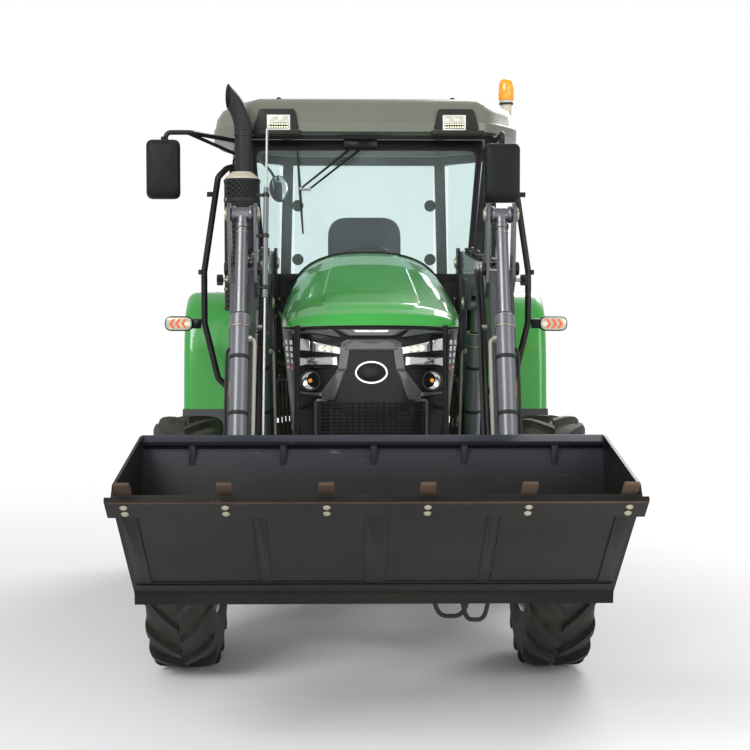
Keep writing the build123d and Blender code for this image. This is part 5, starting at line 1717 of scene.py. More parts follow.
class Loader:
    """Cylinder glands, ports, pipes, hoses, pins, caps, clamps, the level rod and the masts' fittings."""

    def __init__(self, shop: Shop) -> None:
        """Keeps the shop."""
        self.shop = shop

    @staticmethod
    def cap(made: Surface, place: np.ndarray, radius: float, normal: Vec = (1, 0, 0), slot: int = 0) -> None:
        """Adds a pin's round head with a keeper bolt beside it.

        Args:
            made: the surface to add to.
            place: where it stands.
            radius: radius of the pin.
            normal: direction it faces.
            slot: which of the piece's finishes.
        """
        r = radius
        made.turned([(0, r * 1.32), (0.003, r * 1.32), (0.0045, r * 1.22), (0.0045, r), (0.009, r * 0.94),
            (0.010, r * 0.80), (0.010, r * 0.22), (0.006, r * 0.16), (0.006, 0)], place, normal, 32, slot)

    def barrel(self, ram: Ram) -> Surface:
        """A barrel's gland, rings, weld collars, ports, clips and its pipe.

        Args:
            ram: the cylinder's line.

        Returns:
            The surface.
        """
        made, r = Surface(), ram.barrel
        short = 0.012 if ram is LIFT else 0.0
        ram.collar(made, ram.length - 0.040 - short, 0.042, r + 0.0035 - short / 6, 0)
        ram.collar(made, ram.length - 0.046 - short, 0.005, r + 0.005 - short / 6, 1)
        ram.collar(made, ram.length + 0.001, 0.004, r - 0.0015, 1)
        ram.collar(made, ram.length + 0.005, 0.006, ram.rod + 0.006, 2)
        ram.collar(made, 0.052, 0.010, r + 0.002, 0)
        for d in (ram.length * 0.22, ram.length * 0.50, ram.length * 0.78):
            ram.collar(made, d, 0.016, r + 0.0022, 2)
            made.bolt(ram.at(d + 0.008, 0.0, r + 0.002), ram.ahead, 0.006, 1)
        pipe = bent_path([ram.at(0.085, -r * 0.5, 0), ram.at(0.085, -r - 0.022, 0.004),
            ram.at(ram.length - 0.09, -r - 0.022, 0.004), ram.at(ram.length - 0.09, -r * 0.5, 0)], 0.022)
        made.tube(pipe, 0.0072, 10, 3)
        for d in (0.085, ram.length - 0.09):
            made.rod(ram.at(d, -r + 0.006, 0), ram.at(d, -r - 0.012, 0), 0.0125, 6, 1)
        thin = bent_path([ram.at(0.10, r * 0.4, 0.010), ram.at(0.115, r + 0.014, 0.012),
            ram.at(ram.length - 0.13, r + 0.014, 0.012), ram.at(ram.length - 0.115, r * 0.4, 0.010)], 0.016)
        made.tube(thin, 0.0058, 8, 2)
        return made

    def plate(self) -> Surface:
        """Blank plate on the barrel's outer front."""
        frame = Frame(DUMP.at(0.50, 0.0355, 0.008), DUMP.ahead * -1.0, DUMP.along)
        return Surface().slab(box_outline(0.030, 0.062, 0.003), frame, 0.0016, 0.0005)

    def rod_end(self, ram: Ram, width: float) -> Surface:
        """A rod's neck ring, its cross boss with raised rims, and a grease nipple.

        Args:
            ram: the cylinder's line.
            width: width of the cross boss.

        Returns:
            The surface.
        """
        made, length = Surface(), float(np.linalg.norm(np.subtract(ram.eye, ram.base)))
        boss = 0.0300
        if ram is DUMP:
            ram.collar(made, length - 0.060, 0.018, ram.rod + 0.004, 0)
            ram.collar(made, length - 0.080, 0.006, ram.rod + 0.0015, 1)
            boss = 0.0335
        for side in (-1, 1):
            made.turned([(0, 0.020), (0, boss - 0.0025), (0.004, boss), (0.010, boss),
                (0.014, boss - 0.0035)], ram.at(length, side * (width / 2 - 0.016)), (side, 0, 0), 32, 0)
        made.rod(ram.at(length, 0, 0.024), ram.at(length, 0, 0.036), 0.0045, 8, 1)
        return made

    def boom_fittings(self) -> Surface:
        """Pin caps, ear bosses with bolts, hoses along the arm with their clamps, and a knob on the left arm.

        Returns:
            The surface.
        """
        made = Surface()
        for place, radius in ((DUMP.eye, 0.022), ((-1.175, 0.635), 0.022), (LIFT.eye, 0.022)):
            for side, x in ((1, 0.5645), (-1, 0.4455)):
                self.cap(made, row(x, *place), radius, (side, 0, 0), 1)
        for side, x in ((1, 0.5645), (-1, 0.4455)):
            made.turned([(0, 0.027), (0.010, 0.027), (0.013, 0.023), (0.013, 0.0)], row(x, -0.700, 1.735),
                (side, 0, 0), 28, 0)
            made.bolt(row(x + side * 0.002, -0.640, 1.700), (side, 0, 0), 0.011, 1)
        grip = np.linspace(0, 2 * math.pi, 40, endpoint=False)
        knob = disc_outline(1.0, 40) * (0.020 + 0.0014 * np.cos(grip * 20))[:, None]
        made.slab(knob, flat(row(0.580, -0.730, 1.690), "left"), 0.024, 0.003, 0)
        made.rod(row(0.560, -0.730, 1.690), row(0.582, -0.730, 1.690), 0.007, 12, 1)
        y = np.linspace(0.80, -0.60, 9)
        z = np.interp(y, (-0.685, 0.870), (1.660 + 0.078, 1.800 + 0.062))
        for dx in (-0.018, 0.0, 0.018):
            path = smooth_path(np.stack([np.full(9, 0.505 + dx), AXLE_Y + y, z + 0.010], 1), 6)
            made.tube(path, 0.0072, 8, 2)
        for k in range(1, 8, 2):
            y0, z0 = y[k], z[k]
            made.box((0.472, y0 - 0.012, z0), (0.538, y0 + 0.012, z0 + 0.022), 0.003, 0)
            made.bolt(row(0.505, y0, z0 + 0.022), (0, 0, 1), 0.007, 1)
        return made

    def down_hoses(self) -> Surface:
        """Grey hoses with crimped ends that run down the arm's inner side to the barrels.

        Returns:
            The surface.
        """
        made = Surface()
        for k, (dx, slot) in enumerate(((-0.066, 2), (-0.084, 2))):
            path = smooth_path([row(0.505 + dx, -0.56 - 0.02 * k, 1.745),
                row(0.505 + dx - 0.006, -0.66, 1.69), row(0.505 + dx - 0.004, -0.76 - 0.02 * k, 1.50),
                row(0.505 + dx, -0.86, 1.22), row(0.505 + dx + 0.004, -0.955, 0.98)], 10)
            made.tube(path, 0.0088, 10, slot)
            for place, way in ((path[0], path[1] - path[0]), (path[-1], path[-2] - path[-1])):
                d = unit(way)
                made.rod(place - d * 0.012, place + d * 0.034, 0.0112, 14, 1)
                made.rod(place - d * 0.026, place - d * 0.008, 0.0130, 6, 1)
        made.rod(row(0.416, -0.765, 1.505), row(0.448, -0.765, 1.505), 0.012, 6, 1)
        return made

    def level_rod(self) -> Surface:
        """Bucket level rod on the right arm: a guide tube, the bright rod through it and its clips.

        Returns:
            The surface.
        """
        made, x = Surface(), -0.412
        top, low = row(x, -0.640, 2.285), row(x, -0.985, 1.075)
        at = lambda z: low + (top - low) * (z - 1.075) / 1.21
        made.tube(smooth_path([low, at(1.5), at(1.9), top], 4), 0.0046, 8, 1)
        made.rod(at(1.62), at(2.05), 0.0105, 16, 0)
        for z in (1.66, 1.86, 2.02):
            made.rod(at(z - 0.008), at(z + 0.008), 0.0135, 16, 3)
            made.box((x, at(z)[1] - AXLE_Y - 0.008, z - 0.006), (x - 0.036, at(z)[1] - AXLE_Y + 0.010,
                z + 0.006), 0.002, 3)
        return made

    def mast_fittings(self) -> Surface:
        """Left mast: bosses, bolts, the upright front flat, the stay and the toothed plate.

        Returns:
            The surface.
        """
        made = Surface()
        for side, x in ((1, 0.5645), (-1, 0.4455)):
            self.cap(made, row(x, 0.870, 1.800), 0.024, (side, 0, 0), 1)
            self.cap(made, row(x, *LIFT.base), 0.024, (side, 0, 0), 1)
            for place in ((0.83, 1.62), (0.79, 1.36), (0.80, 1.24), (0.77, 1.12)):
                made.turned([(0, 0.022), (0.006, 0.022), (0.009, 0.018), (0.009, 0.0)], row(x, *place),
                    (side, 0, 0), 24, 0)
                made.bolt(row(x + side * 0.008, *place), (side, 0, 0), 0.010, 1)
        made.box((0.455, 0.756, 1.08), (0.490, 0.764, 1.74), 0.003, 0)
        stay = [row(0.440, 0.800, 1.560), row(0.330, 0.812, 1.380)]
        made.tube(np.array([stay[0], (stay[0] + stay[1]) / 2, stay[1]]), 0.011, 10, 2)
        teeth = [(0.0, 0.0)] + [(0.018 + 0.008 * (k % 2), 0.012 * k) for k in range(12)] + [(0.0, 0.145)]
        made.slab(np.array(teeth)[::-1], flat(row(0.446, 0.770, 1.400), "front"), 0.006, 0.0008, 2, 2)
        return made

    def mast_hoses(self) -> Surface:
        """Coupler block with its hoses inside the left mast.

        Returns:
            The surface.
        """
        made = Surface()
        made.box((0.360, 0.640, 1.165), (0.440, 0.700, 1.240), 0.005, 0)
        for k in range(4):
            x = 0.372 + 0.018 * k
            made.rod(row(x, 0.64, 1.225), row(x, 0.612, 1.225), 0.008, 6, 1)
            path = smooth_path([row(x, 0.612, 1.225), row(x, 0.575, 1.20), row(x - 0.004, 0.60, 1.05),
                row(x - 0.010, 0.66, 0.90), row(x - 0.020, 0.70, 0.74)], 8)
            made.tube(path, 0.0072, 8, 2)
        return made

    @staticmethod
    def loops() -> Surface:
        """Two hose loops that hang from the arms' cross tube.

        Returns:
            The surface.
        """
        made = Surface()
        for left, right, low in ((0.221, 0.377, 0.402), (0.335, 0.451, 0.388)):
            middle, half = (left + right) / 2, (right - left) / 2
            path = smooth_path([row(middle + k * half, y, z) for k, y, z in (
                (-0.9, -0.951, 0.960), (-1.0, -0.935, 0.80), (-1.08, -0.91, 0.62), (-0.72, -0.90, low + 0.034),
                (0, -0.90, low), (0.72, -0.90, low + 0.034), (1.08, -0.91, 0.62), (1.0, -0.935, 0.80),
                (0.9, -0.951, 0.960))], 7)
            made.tube(path, 0.0088, 12, 0)
            for end, near in ((path[0], path[3]), (path[-1], path[-4])):
                made.rod(end, end + unit(near - end) * 0.034, 0.0118, 12, 1)
                made.turned([(-0.006, 0.0), (-0.006, 0.015), (0.008, 0.015), (0.008, 0.0)], end, near - end,
                    6, 1)
        return made

    def build(self) -> None:
        """Makes the loader's pieces."""
        piece = self.shop.piece
        pipe = Finish("pipe_paint", (0.30, 0.29, 0.25), 0.42, coat=0.2, relief=Surfacing.ORANGE_PEEL)
        for name, ram in (("dump", DUMP), ("lift", LIFT)):
            piece(f"{name}_glands", self.barrel(ram).both(), f"{name}_barrels", (CYLINDER, ZINC, HOSE, pipe),
                slot="cylinder_paint")
            piece(f"{name}_rod_ends", self.rod_end(ram, 0.086 if ram is DUMP else 0.060).both(),
                f"{name}_rods", (ROD, STEEL), slot="rod_chrome")
        piece("cylinder_plates", self.plate().both(), "dump_barrels", (YELLOW,), slot="cylinder_paint")
        piece("arm_fittings", self.boom_fittings().both(), "boom", (BLACK, ZINC, HOSE), slot="black_paint")
        piece("arm_hoses", self.down_hoses().both(), "boom", (BLACK, STEEL, HOSE), slot="black_plastic")
        piece("level_rod", self.level_rod(), "boom", (CYLINDER, STEEL, HOSE, BLACK), slot="rod_chrome")
        piece("mast_fittings", self.mast_fittings().both(), "chassis", (NAVY, ZINC, SOCKET),
            slot="black_paint")
        piece("mast_hoses", self.mast_hoses().both(), "chassis", (NAVY, STEEL, HOSE), slot="black_plastic")
        piece("hose_loops", self.loops(), "boom", (HOSE, STEEL), slot="black_plastic")


# ------------------------------------------------------------------ cab
@dataclass(frozen=True)
class CabSize:
    """The cab's leading sizes.

    Args:
        roof_low: underside of the roof.
        roof_top: top of the roof.
        roof_front: front of the roof, behind the axle.
        roof_rear: rear of the roof.
        screen_low: height of the windscreen's lower edge.
        screen_top: height of its upper edge.
        screen_y: its plane at 1.74 m height.
        lean: how far it leans back per metre of height.
    """

    roof_low: float = 2.4685
    roof_top: float = 2.6585
    roof_front: float = 1.062
    roof_rear: float = 2.518
    screen_low: float = 1.711
    screen_top: float = 2.444
    screen_y: float = 1.1035
    lean: float = 0.1511


class Cab:
    """Roof, lamps, beacon, glass bands, wiper, mirrors, turn lamps and the doors' fittings."""

    def __init__(self, shop: Shop, size: CabSize = CabSize()) -> None:
        """Keeps the shop and the sizes."""
        self.shop, self.size = shop, size

    def roof(self) -> Surface:
        """Domed cap whose plan is wide at the doors, with a stepped lip.

        Returns:
            The surface.
        """
        s = self.size
        f, r = s.roof_front, s.roof_rear
        half = [(0.560, f), (0.640, f + 0.03), (0.800, f + 0.30), (0.838, f + 0.70), (0.815, f + 1.05),
            (0.700, r - 0.06), (0.600, r)]
        corners = np.array([(-x, y) for x, y in half[::-1]] + half)[::-1]
        plan = rounded(corners, 0.09, 6)
        z = np.array([s.roof_low, s.roof_low + 0.004, s.roof_low + 0.050, s.roof_low + 0.056,
            s.roof_low + 0.105, s.roof_low + 0.145, s.roof_low + 0.172, s.roof_low + 0.185,
            s.roof_top - 0.001, s.roof_top])
        inset = np.array([-0.016, -0.002, 0.0, -0.006, -0.016, -0.042, -0.085, -0.130, -0.210, -0.420])
        rings = grown(plan, inset)
        lift = np.where(rings[..., 1] > r - 0.5, (rings[..., 1] - r + 0.5) * 0.06,
            0.0) * (z - s.roof_low)[:, None] / 0.19
        places = np.stack([rings[..., 0], AXLE_Y + rings[..., 1], z[:, None] - lift], -1)
        return Surface().grid(places, 0, loop=True, cap=True, flip=True)

    def roof_trim(self) -> Surface:
        """The raised middle panel on the roof and the lifting eyes.

        Returns:
            The surface.
        """
        s, made = self.size, Surface()
        made.slab(rounded([(-0.370, s.roof_front + 0.16), (0.370, s.roof_front + 0.16),
            (0.400, s.roof_rear - 0.32), (-0.400, s.roof_rear - 0.32)], 0.05, 6) + np.array([0.0, AXLE_Y]),
            Frame((0, 0, s.roof_top - 0.012), (1, 0, 0), (0, 1, 0)), 0.0118, 0.004, 0)
        for x in (-0.46, 0.46):
            base = row(x, s.roof_front + 0.33, s.roof_top - 0.012)
            made.turned([(0, 0.038), (0.006, 0.036), (0.010, 0.020), (0.012, 0.012)], base, (0, 0, 1), 24, 1)
            ring = np.linspace(0, 2 * math.pi, 25)
            loop = base + np.stack([0.013 * np.cos(ring), 0 * ring, 0.026 + 0.013 * np.sin(ring)], 1)
            made.tube(loop, 0.0045, 8, 1)
        return made

    def recesses(self) -> Surface:
        """Dark fields on the roof's front round the work lamps, and the band under the roof.

        Returns:
            The surface.
        """
        s, made = self.size, Surface()
        field = rounded([(0.340, s.roof_low + 0.012), (0.575, s.roof_low + 0.012),
            (0.545, s.roof_low + 0.118), (0.365, s.roof_low + 0.118)], 0.014, 5)
        made.slab(field, flat((0, AXLE_Y + s.roof_front + 0.012, 0), "front"), 0.013, 0.002, 0)
        made.box((0.330, s.roof_front - 0.004, s.roof_low - 0.012), (0.600, s.roof_front + 0.030,
            s.roof_low + 0.010), 0.003, 0, "front")
        return made

    def work_lamps(self) -> Surface:
        """Left work lamp: housing, frame, two reflectors and a field of small chips.

        Returns:
            The surface.
        """
        s, made = self.size, Surface()
        y, z0 = s.roof_front - 0.003, s.roof_low + 0.004
        made.box((0.381, y + 0.004, z0), (0.513, y + 0.050, z0 + 0.090), 0.006, 0, "front")
        made.box((0.388, y, z0 + 0.006), (0.506, y + 0.006, z0 + 0.084), 0.004, 1, "front")
        for x in (0.397, 0.450):
            made.box((x, y - 0.0016, z0 + 0.050), (x + 0.047, y + 0.002, z0 + 0.076), 0.003, 2, "front")
        made.box((0.397, y - 0.0016, z0 + 0.014), (0.497, y + 0.002, z0 + 0.044), 0.003, 3, "front")
        for k in range(8):
            for level in (0.0215, 0.0365):
                made.turned([(0, 0.0050), (0.0020, 0.0044), (0.0030, 0.002), (0.0030, 0)],
                    row(0.4035 + 0.0125 * k, y - 0.0016, z0 + level), (0, -1, 0), 10, 4)
        for x in (0.381, 0.513):
            made.rod(row(x - 0.004, y + 0.030, z0 + 0.045), row(x + 0.004, y + 0.030, z0 + 0.045), 0.009, 14,
                0)
        return made

    def beacon(self) -> Surface:
        """Ribbed amber dome on a cream base with a clamp.

        Returns:
            The surface.
        """
        made, foot = Surface(), row(0.800, 1.900, 2.560)
        made.turned([(0, 0.030), (0.165, 0.030), (0.168, 0.037), (0.184, 0.038), (0.188, 0.034)], foot,
            (0, 0, 1), 32, 1)
        a = np.linspace(0, 2 * math.pi, 72, endpoint=False)
        z = np.array([0.186, 0.192, 0.275, 0.296, 0.306, 0.3105])
        r = np.array([0.040, 0.0435, 0.041, 0.033, 0.017, 0.0])
        ribs = 1 + 0.014 * np.cos(a * 24)[None, :] * (z < 0.28)[:, None]
        places = np.stack([foot[0] + r[:, None] * ribs * np.cos(a), foot[1] + r[:, None] * ribs * np.sin(a),
            np.broadcast_to(foot[2] + z[:, None], (6, 72))], -1)
        made.grid(places, 0, loop=True)
        made.turned([(0.160, 0.0335), (0.160, 0.040), (0.170, 0.040), (0.170, 0.0335)], foot, (0, 0, 1), 28,
            2)
        return made

    def screen_frame(self, out: float = 0.0) -> Frame:
        """A drawing frame on the windscreen: across, and up with the lean; its origin is at z = 0.

        Args:
            out: lift off the face.

        Returns:
            The frame.
        """
        s = self.size
        y0 = s.screen_y - s.lean * 1.74 - out
        return Frame((0, AXLE_Y + y0, 0), (1, 0, 0), (0, s.lean, 1.0))

    def bands(self) -> Surface:
        """Black printed band round the windscreen, and its rubber edge.

        Returns:
            The surface.
        """
        s, made, up = self.size, Surface(), math.hypot(1.0, self.size.lean)
        low, top = s.screen_low * up, s.screen_top * up
        outer = rounded([(-0.538, low), (0.538, low), (0.610, top), (-0.610, top)], 0.020, 6)
        inner = rounded([(-0.512, low + 0.040), (0.512, low + 0.040), (0.572, top - 0.056),
            (-0.572, top - 0.056)], 0.045, 6)
        made.slab(outer, self.screen_frame(0.0), 0.0022, 0.0008, 0, 3, inner)
        return made

    def wiper(self) -> Surface:
        """Wiper parked at the left of the sight: motor boss, two arms, a cross link and the blade.

        Returns:
            The surface.
        """
        made, frame = Surface(), self.screen_frame(0.010)
        spot = lambda x, z, h=0.0: frame.place(np.array([[x, z * math.hypot(1.0, self.size.lean)]]), h)[0]
        arms = (((-0.045, 2.425), (-0.338, 2.186)), ((0.010, 2.425), (-0.292, 2.184)))
        for top, low in arms:
            a, b = spot(*top, 0.010), spot(*low, 0.018)
            made.tube(np.array([a, a + (b - a) * 0.45, b]), np.array([0.0085, 0.0060, 0.0050]), 8, 0)
            made.rod(spot(*top, -0.006), spot(*top, 0.022), 0.014, 20, 0)
            made.rod(spot(*low, 0.008), spot(*low, 0.024), 0.008, 14, 1)
        made.tube(np.array([spot(-0.345, 2.182, 0.017), spot(-0.315, 2.181, 0.018),
            spot(-0.288, 2.184, 0.017)]), 0.0055, 8, 1)
        made.tube(np.array([spot(-0.356, 2.395, 0.004), spot(-0.342, 2.180, 0.007),
            spot(-0.326, 1.955, 0.004)]), np.array([0.0045, 0.0075, 0.0045]), 8, 0)
        made.box((-0.120, 1.168, 2.398), (0.060, 1.196, 2.446), 0.010, 0, "front")
        return made

    @staticmethod
    def mirror(x0: float, x1: float, z0: float, z1: float) -> Surface:
        """A mirror: a crowned rounded housing, its groove, and the glass that looks back.

        Args:
            x0: inner side.
            x1: outer side.
            z0: lower edge.
            z1: upper edge.

        Returns:
            The surface.
        """
        made, w, h = Surface(), x1 - x0, z1 - z0
        outline = box_outline(w, h, 0.034, 7)
        depth = np.array([0.0, 0.012, 0.030, 0.046, 0.056, 0.062, 0.066])
        share = np.array([0.975, 1.0, 0.990, 0.945, 0.870, 0.700, 0.200])
        frame = flat(row((x0 + x1) / 2, 0.826, (z0 + z1) / 2), "front")
        made.grid(frame.place(outline[None] * share[:, None, None], depth[:, None]), 0, loop=True, cap=True)
        made.slab(box_outline(w - 0.016, h - 0.016, 0.030), flat(row((x0 + x1) / 2, 0.822, (z0 + z1) / 2),
            "back"), 0.0045, 0.001, 1)
        made.rod(row((x0 + x1) / 2, 0.832, z1 - 0.03), row((x0 + x1) / 2, 0.832, z1 + 0.016), 0.014, 16, 0)
        return made

    @staticmethod
    def turn_lamp() -> Surface:
        """Left turn lamp: oval housing and lens, its rim and three raised chevrons.

        Returns:
            The surface.
        """
        made = Surface()
        oval = box_outline(0.144, 0.076, 0.037, 9)
        made.slab(oval, flat(row(0.958, 1.073, 1.495), "front"), 0.022, 0.005, 0)
        made.slab(grown(oval, -0.006)[0], flat(row(0.958, 1.052, 1.495), "front"), 0.007, 0.003, 1)
        made.slab(grown(oval, -0.004)[0], flat(row(0.958, 1.072, 1.495), "back"), 0.020, 0.008, 3)
        for k in (-1, 0, 1):
            x = 0.958 + 0.030 * k
            tip = 0.016
            points = [(x - 0.012, -0.024), (x + 0.002, -0.024), (x + 0.002 + tip, 0.0), (x + 0.002, 0.024),
                (x - 0.012, 0.024), (x - 0.012 + tip, 0.0)]
            made.slab(np.array(points), flat((0, AXLE_Y + 1.0455, 1.495), "front"), 0.0022, 0.0006, 2, 2)
        made.box((0.845, 1.056, 1.470), (0.895, 1.074, 1.520), 0.006, 0, "front")
        return made

    @staticmethod
    def tail_lamp() -> Surface:
        """Left tail lamp: black housing, red and amber fields.

        Returns:
            The surface.
        """
        made = Surface()
        made.box((0.762, 3.004, 1.192), (0.898, 3.036, 1.288), 0.010, 0, "back")
        for k, slot in enumerate((1, 2, 1)):
            x = 0.770 + 0.041 * k
            made.box((x, 3.034, 1.200), (x + 0.038, 3.048, 1.280), 0.006, slot, "back")
        return made

    def door_fittings(self) -> Surface:
        """Left door: handle, lock and hinge caps.

        Returns:
            The surface.
        """
        made = Surface()
        made.box((0.622, 1.236, 1.440), (0.650, 1.262, 1.570), 0.006, 0, "left")
        path = bent_path([row(0.628, 1.285, 1.46), row(0.664, 1.285, 1.46), row(0.664, 1.285, 1.59),
            row(0.628, 1.285, 1.59)], 0.018)
        made.tube(path, 0.007, 10, 0)
        made.rod(row(0.626, 1.250, 1.50), row(0.656, 1.250, 1.50), 0.012, 20, 1)
        for z in (1.748, 2.344):
            made.bolt(row(0.757, 1.982, z + 0.030), (0.97, -0.2, 0), 0.008, 1)
        return made

    def rear_clamps(self) -> Surface:
        """Round glass clamps on the rear posts.

        Returns:
            The surface.
        """
        made = Surface()
        for z in (2.18, 1.86):
            made.rod(row(0.395, 2.340, z), row(0.395, 2.372, z), 0.034, 28, 0)
            made.rod(row(0.395, 2.330, z), row(0.395, 2.342, z), 0.016, 6, 0)
        return made

    @staticmethod
    def inner_mirror() -> Surface:
        """Mirror on a stalk inside the windscreen's right upper corner.

        Returns:
            The surface.
        """
        made, place = Surface(), row(-0.455, 1.300, 2.200)
        oval = disc_outline(1.0, 40) * (0.052, 0.070)
        frame = Frame(place, (0.94, -0.24, 0.24), (-0.2, -0.1, 1.0))
        made.slab(oval, frame, 0.016, 0.005, 0)
        made.slab(oval * 0.90, Frame(place + np.array([0, -0.017, 0.0]), frame.u, frame.v), 0.002, 0.0006, 1)
        made.tube(smooth_path([place, row(-0.50, 1.29, 2.29), row(-0.57, 1.27, 2.36)], 6), 0.007, 8, 0)
        return made

    def build(self) -> None:
        """Makes the cab's pieces."""
        piece, on = self.shop.piece, "chassis"
        smoke = Finish("work_lens", (0.62, 0.62, 0.50), 0.25, metal=0.3, coat=0.6, dust=0.05)
        rim = Finish("lamp_rim", (0.74, 0.74, 0.70), 0.25, metal=0.2, coat=0.5, dust=0.03)
        piece("roof_cap", self.roof(), on, (ROOF,), ("roof",), "roof_plastic", sharp=40)
        piece("roof_trim", self.roof_trim(), on, (ROOF, BLACK), slot="roof_plastic")
        piece("roof_recesses", self.recesses().both(), on, (RECESS,), slot="roof_plastic")
        piece("work_lamps", self.work_lamps().both(), on, (PLASTIC, rim, smoke, RECESS, LED), ("cab_lamps",),
            "amber")
        piece("beacon_lamp", self.beacon(), on, (AMBER, CREAM, BLACK), ("beacon",), "amber")
        piece("screen_band", self.bands(), on, (SATIN,), slot="black_plastic")
        piece("wiper", self.wiper(), on, (SATIN, STEEL), slot="black_plastic")
        mirrors = self.mirror(-1.084, -0.918, 2.110, 2.402).add(self.mirror(0.576, 0.754, 2.094, 2.388))
        piece("mirror_heads", mirrors, on, (PLASTIC, MIRROR), ("mirrors",), "black_plastic")
        piece("turn_lamps", self.turn_lamp().both(), on, (SATIN, smoke, ORANGE, AMBER), slot="amber")
        piece("tail_lamps", self.tail_lamp().both(), on, (SATIN, RED, AMBER), slot="amber")
        for side in Side:
            fittings = self.door_fittings()
            piece(f"door_fittings_{side.word}", fittings if side is Side.LEFT else fittings.mirrored(),
                f"door_{side.word}", (SATIN, STEEL), slot="black_plastic")
        piece("rear_clamps", self.rear_clamps().both(), on, (SATIN,), slot="black_plastic")
        piece("inner_mirror", self.inner_mirror(), on, (SATIN, MIRROR), slot="black_plastic")


# ------------------------------------------------------------------ interior
class Interior:
    """Seat with crowned cushions and seams, armrests, steering wheel, dash, levers and floor mat."""

    def __init__(self, shop: Shop) -> None:
        """Keeps the shop."""
        self.shop = shop

    @staticmethod
    def cushion(made: Surface, frame: Frame, width: float, height: float, thick: float, radius: float,
            folds: int, slot: int = 0) -> None:
        """Adds a stuffed pad: a crowned face with stitched grooves over a rounded edge.

        Args:
            made: where it goes.
            frame: its back's middle, with the normal towards the sitter.
            width: across.
            height: along the frame's second direction.
            thick: height of the crown.
            radius: of the outline's corners.
            folds: how many grooves run across it.
            slot: material index.
        """
        outline = box_outline(width, height, radius, 9)
        share = np.array([1.0, 1.0, 0.992, 0.97, 0.93, 0.86, 0.76, 0.62, 0.44, 0.22, 0.02])
        lift = np.array([0.0, 0.45, 0.68, 0.84, 0.93, 0.97, 0.99, 1.0, 1.0, 0.99, 0.985]) * thick
        rings = outline[None] * share[:, None, None]
        u, v = rings[..., 0] / width, rings[..., 1] / height
        groove = np.exp(-((np.mod((v + 0.5) * (folds + 1), 1.0) - 0.5) * (height / (folds + 1))
            / 0.0085) ** 2)
        edge_roll = np.exp(-((np.abs(u) - 0.36) * width / 0.010) ** 2)
        inside = (share[:, None] < 0.95).astype(float)
        sag = 0.010 * np.cos(u * math.pi) * np.cos(v * math.pi) * inside
        height_map = (lift[:, None] - 0.007 * groove * (np.abs(u) < 0.36) * inside
                      - 0.008 * edge_roll * inside - sag)
        made.grid(frame.place(rings, height_map), slot, loop=True, cap=True)

    def seat(self) -> tuple[Surface, Surface]:
        """The seat's pads, and its base, bellows and shell.

        Returns:
            The pads and the base.
        """
        pads, base = Surface(), Surface()
        lean = unit((0, 0.090, 0.540))
        self.cushion(pads, Frame(row(0, 1.935, 1.470), (1, 0, 0), (0, 1, 0)), 0.465, 0.460, 0.088, 0.080, 4)
        back = Frame(row(0, 2.185, 1.830), (1, 0, 0), lean)
        self.cushion(pads, back, 0.425, 0.530, 0.088, 0.115, 5)
        for side in (-1, 1):
            self.cushion(pads, Frame(row(side * 0.275, 2.000, 1.650), (1, 0, 0), (0, 1, 0)), 0.062, 0.320,
                0.044, 0.028, 0)
        levels = np.linspace(1.292, 1.440, 19)
        fold = 0.165 + 0.008 * np.cos((levels - 1.292) / 0.148 * 12 * math.pi)
        ring = box_outline(2.0, 2.0, 0.35, 6)
        bellows = np.stack([ring[None, :, 0] * fold[:, None], AXLE_Y + 1.965 + ring[None, :, 1]
            * fold[:, None], np.broadcast_to(levels[:, None], (19, len(ring)))], -1)
        base.grid(bellows, 1, loop=True, cap=True)
        base.box((-0.225, 1.710, 1.436), (0.225, 2.175, 1.474), 0.018, 0)
        shell = rounded([(-0.200, -0.262), (0.200, -0.262), (0.178, 0.262), (-0.178, 0.262)], 0.085, 9)
        base.slab(shell, Frame(row(0, 2.226, 1.834), (-1, 0, 0), lean), 0.012, 0.005, 0)
        base.slab(shell, Frame(row(0, 2.186, 1.828), (1, 0, 0), lean), -0.036, -0.004, 0)
        for side in (-1, 1):
            base.box((side * 0.255, 1.850, 1.632), (side * 0.295, 2.150, 1.652), 0.006, 0)
            base.tube(np.array([row(side * 0.275, 2.12, 1.64), row(side * 0.268, 2.16, 1.60),
                row(side * 0.24, 2.19, 1.56)]), 0.014, 10, 0)
        return pads, base

    @staticmethod
    def wheel() -> Surface:
        """Steering wheel: grip rim with finger ripples, three spokes and boss.

        Returns:
            The surface.
        """
        made = Surface()
        hub, w = row(0, 1.4303, 1.7453), unit((0, 0.130, 0.095))
        u = np.array([1.0, 0, 0])
        v = np.cross(w, u)
        a = np.linspace(0, 2 * math.pi, 96, endpoint=False)
        b = np.linspace(0, 2 * math.pi, 14, endpoint=False)
        out = np.cos(a)[:, None] * u + np.sin(a)[:, None] * v
        grip = 0.0135 + 0.0007 * np.cos(a * 40)
        rim = hub + 0.190 * out[:, None] + grip[:, None, None] * (np.cos(b)[None, :, None] * out[:, None]
            + np.sin(b)[None, :, None] * w)
        made.grid(rim, 0, loop=True, ring=True)
        for angle in (90, 210, 330):
            d = math.cos(math.radians(angle)) * u + math.sin(math.radians(angle)) * v
            side = np.cross(w, d)
            path = np.array([hub + w * 0.020 + d * r for r in (0.030, 0.075, 0.130, 0.188)])
            path[2:3] -= w * 0.006
            made.tube(path, np.array([0.019, 0.015, 0.012, 0.011]), 12, 0, 0.45)
            made.rod(path[1] + side * 0.001, path[1] + w * 0.010, 0.004, 8, 1)
        made.turned([(0, 0.044), (0.020, 0.044), (0.027, 0.038), (0.030, 0.020), (0.0305, 0.0)], hub, w, 36,
            0)
        return made

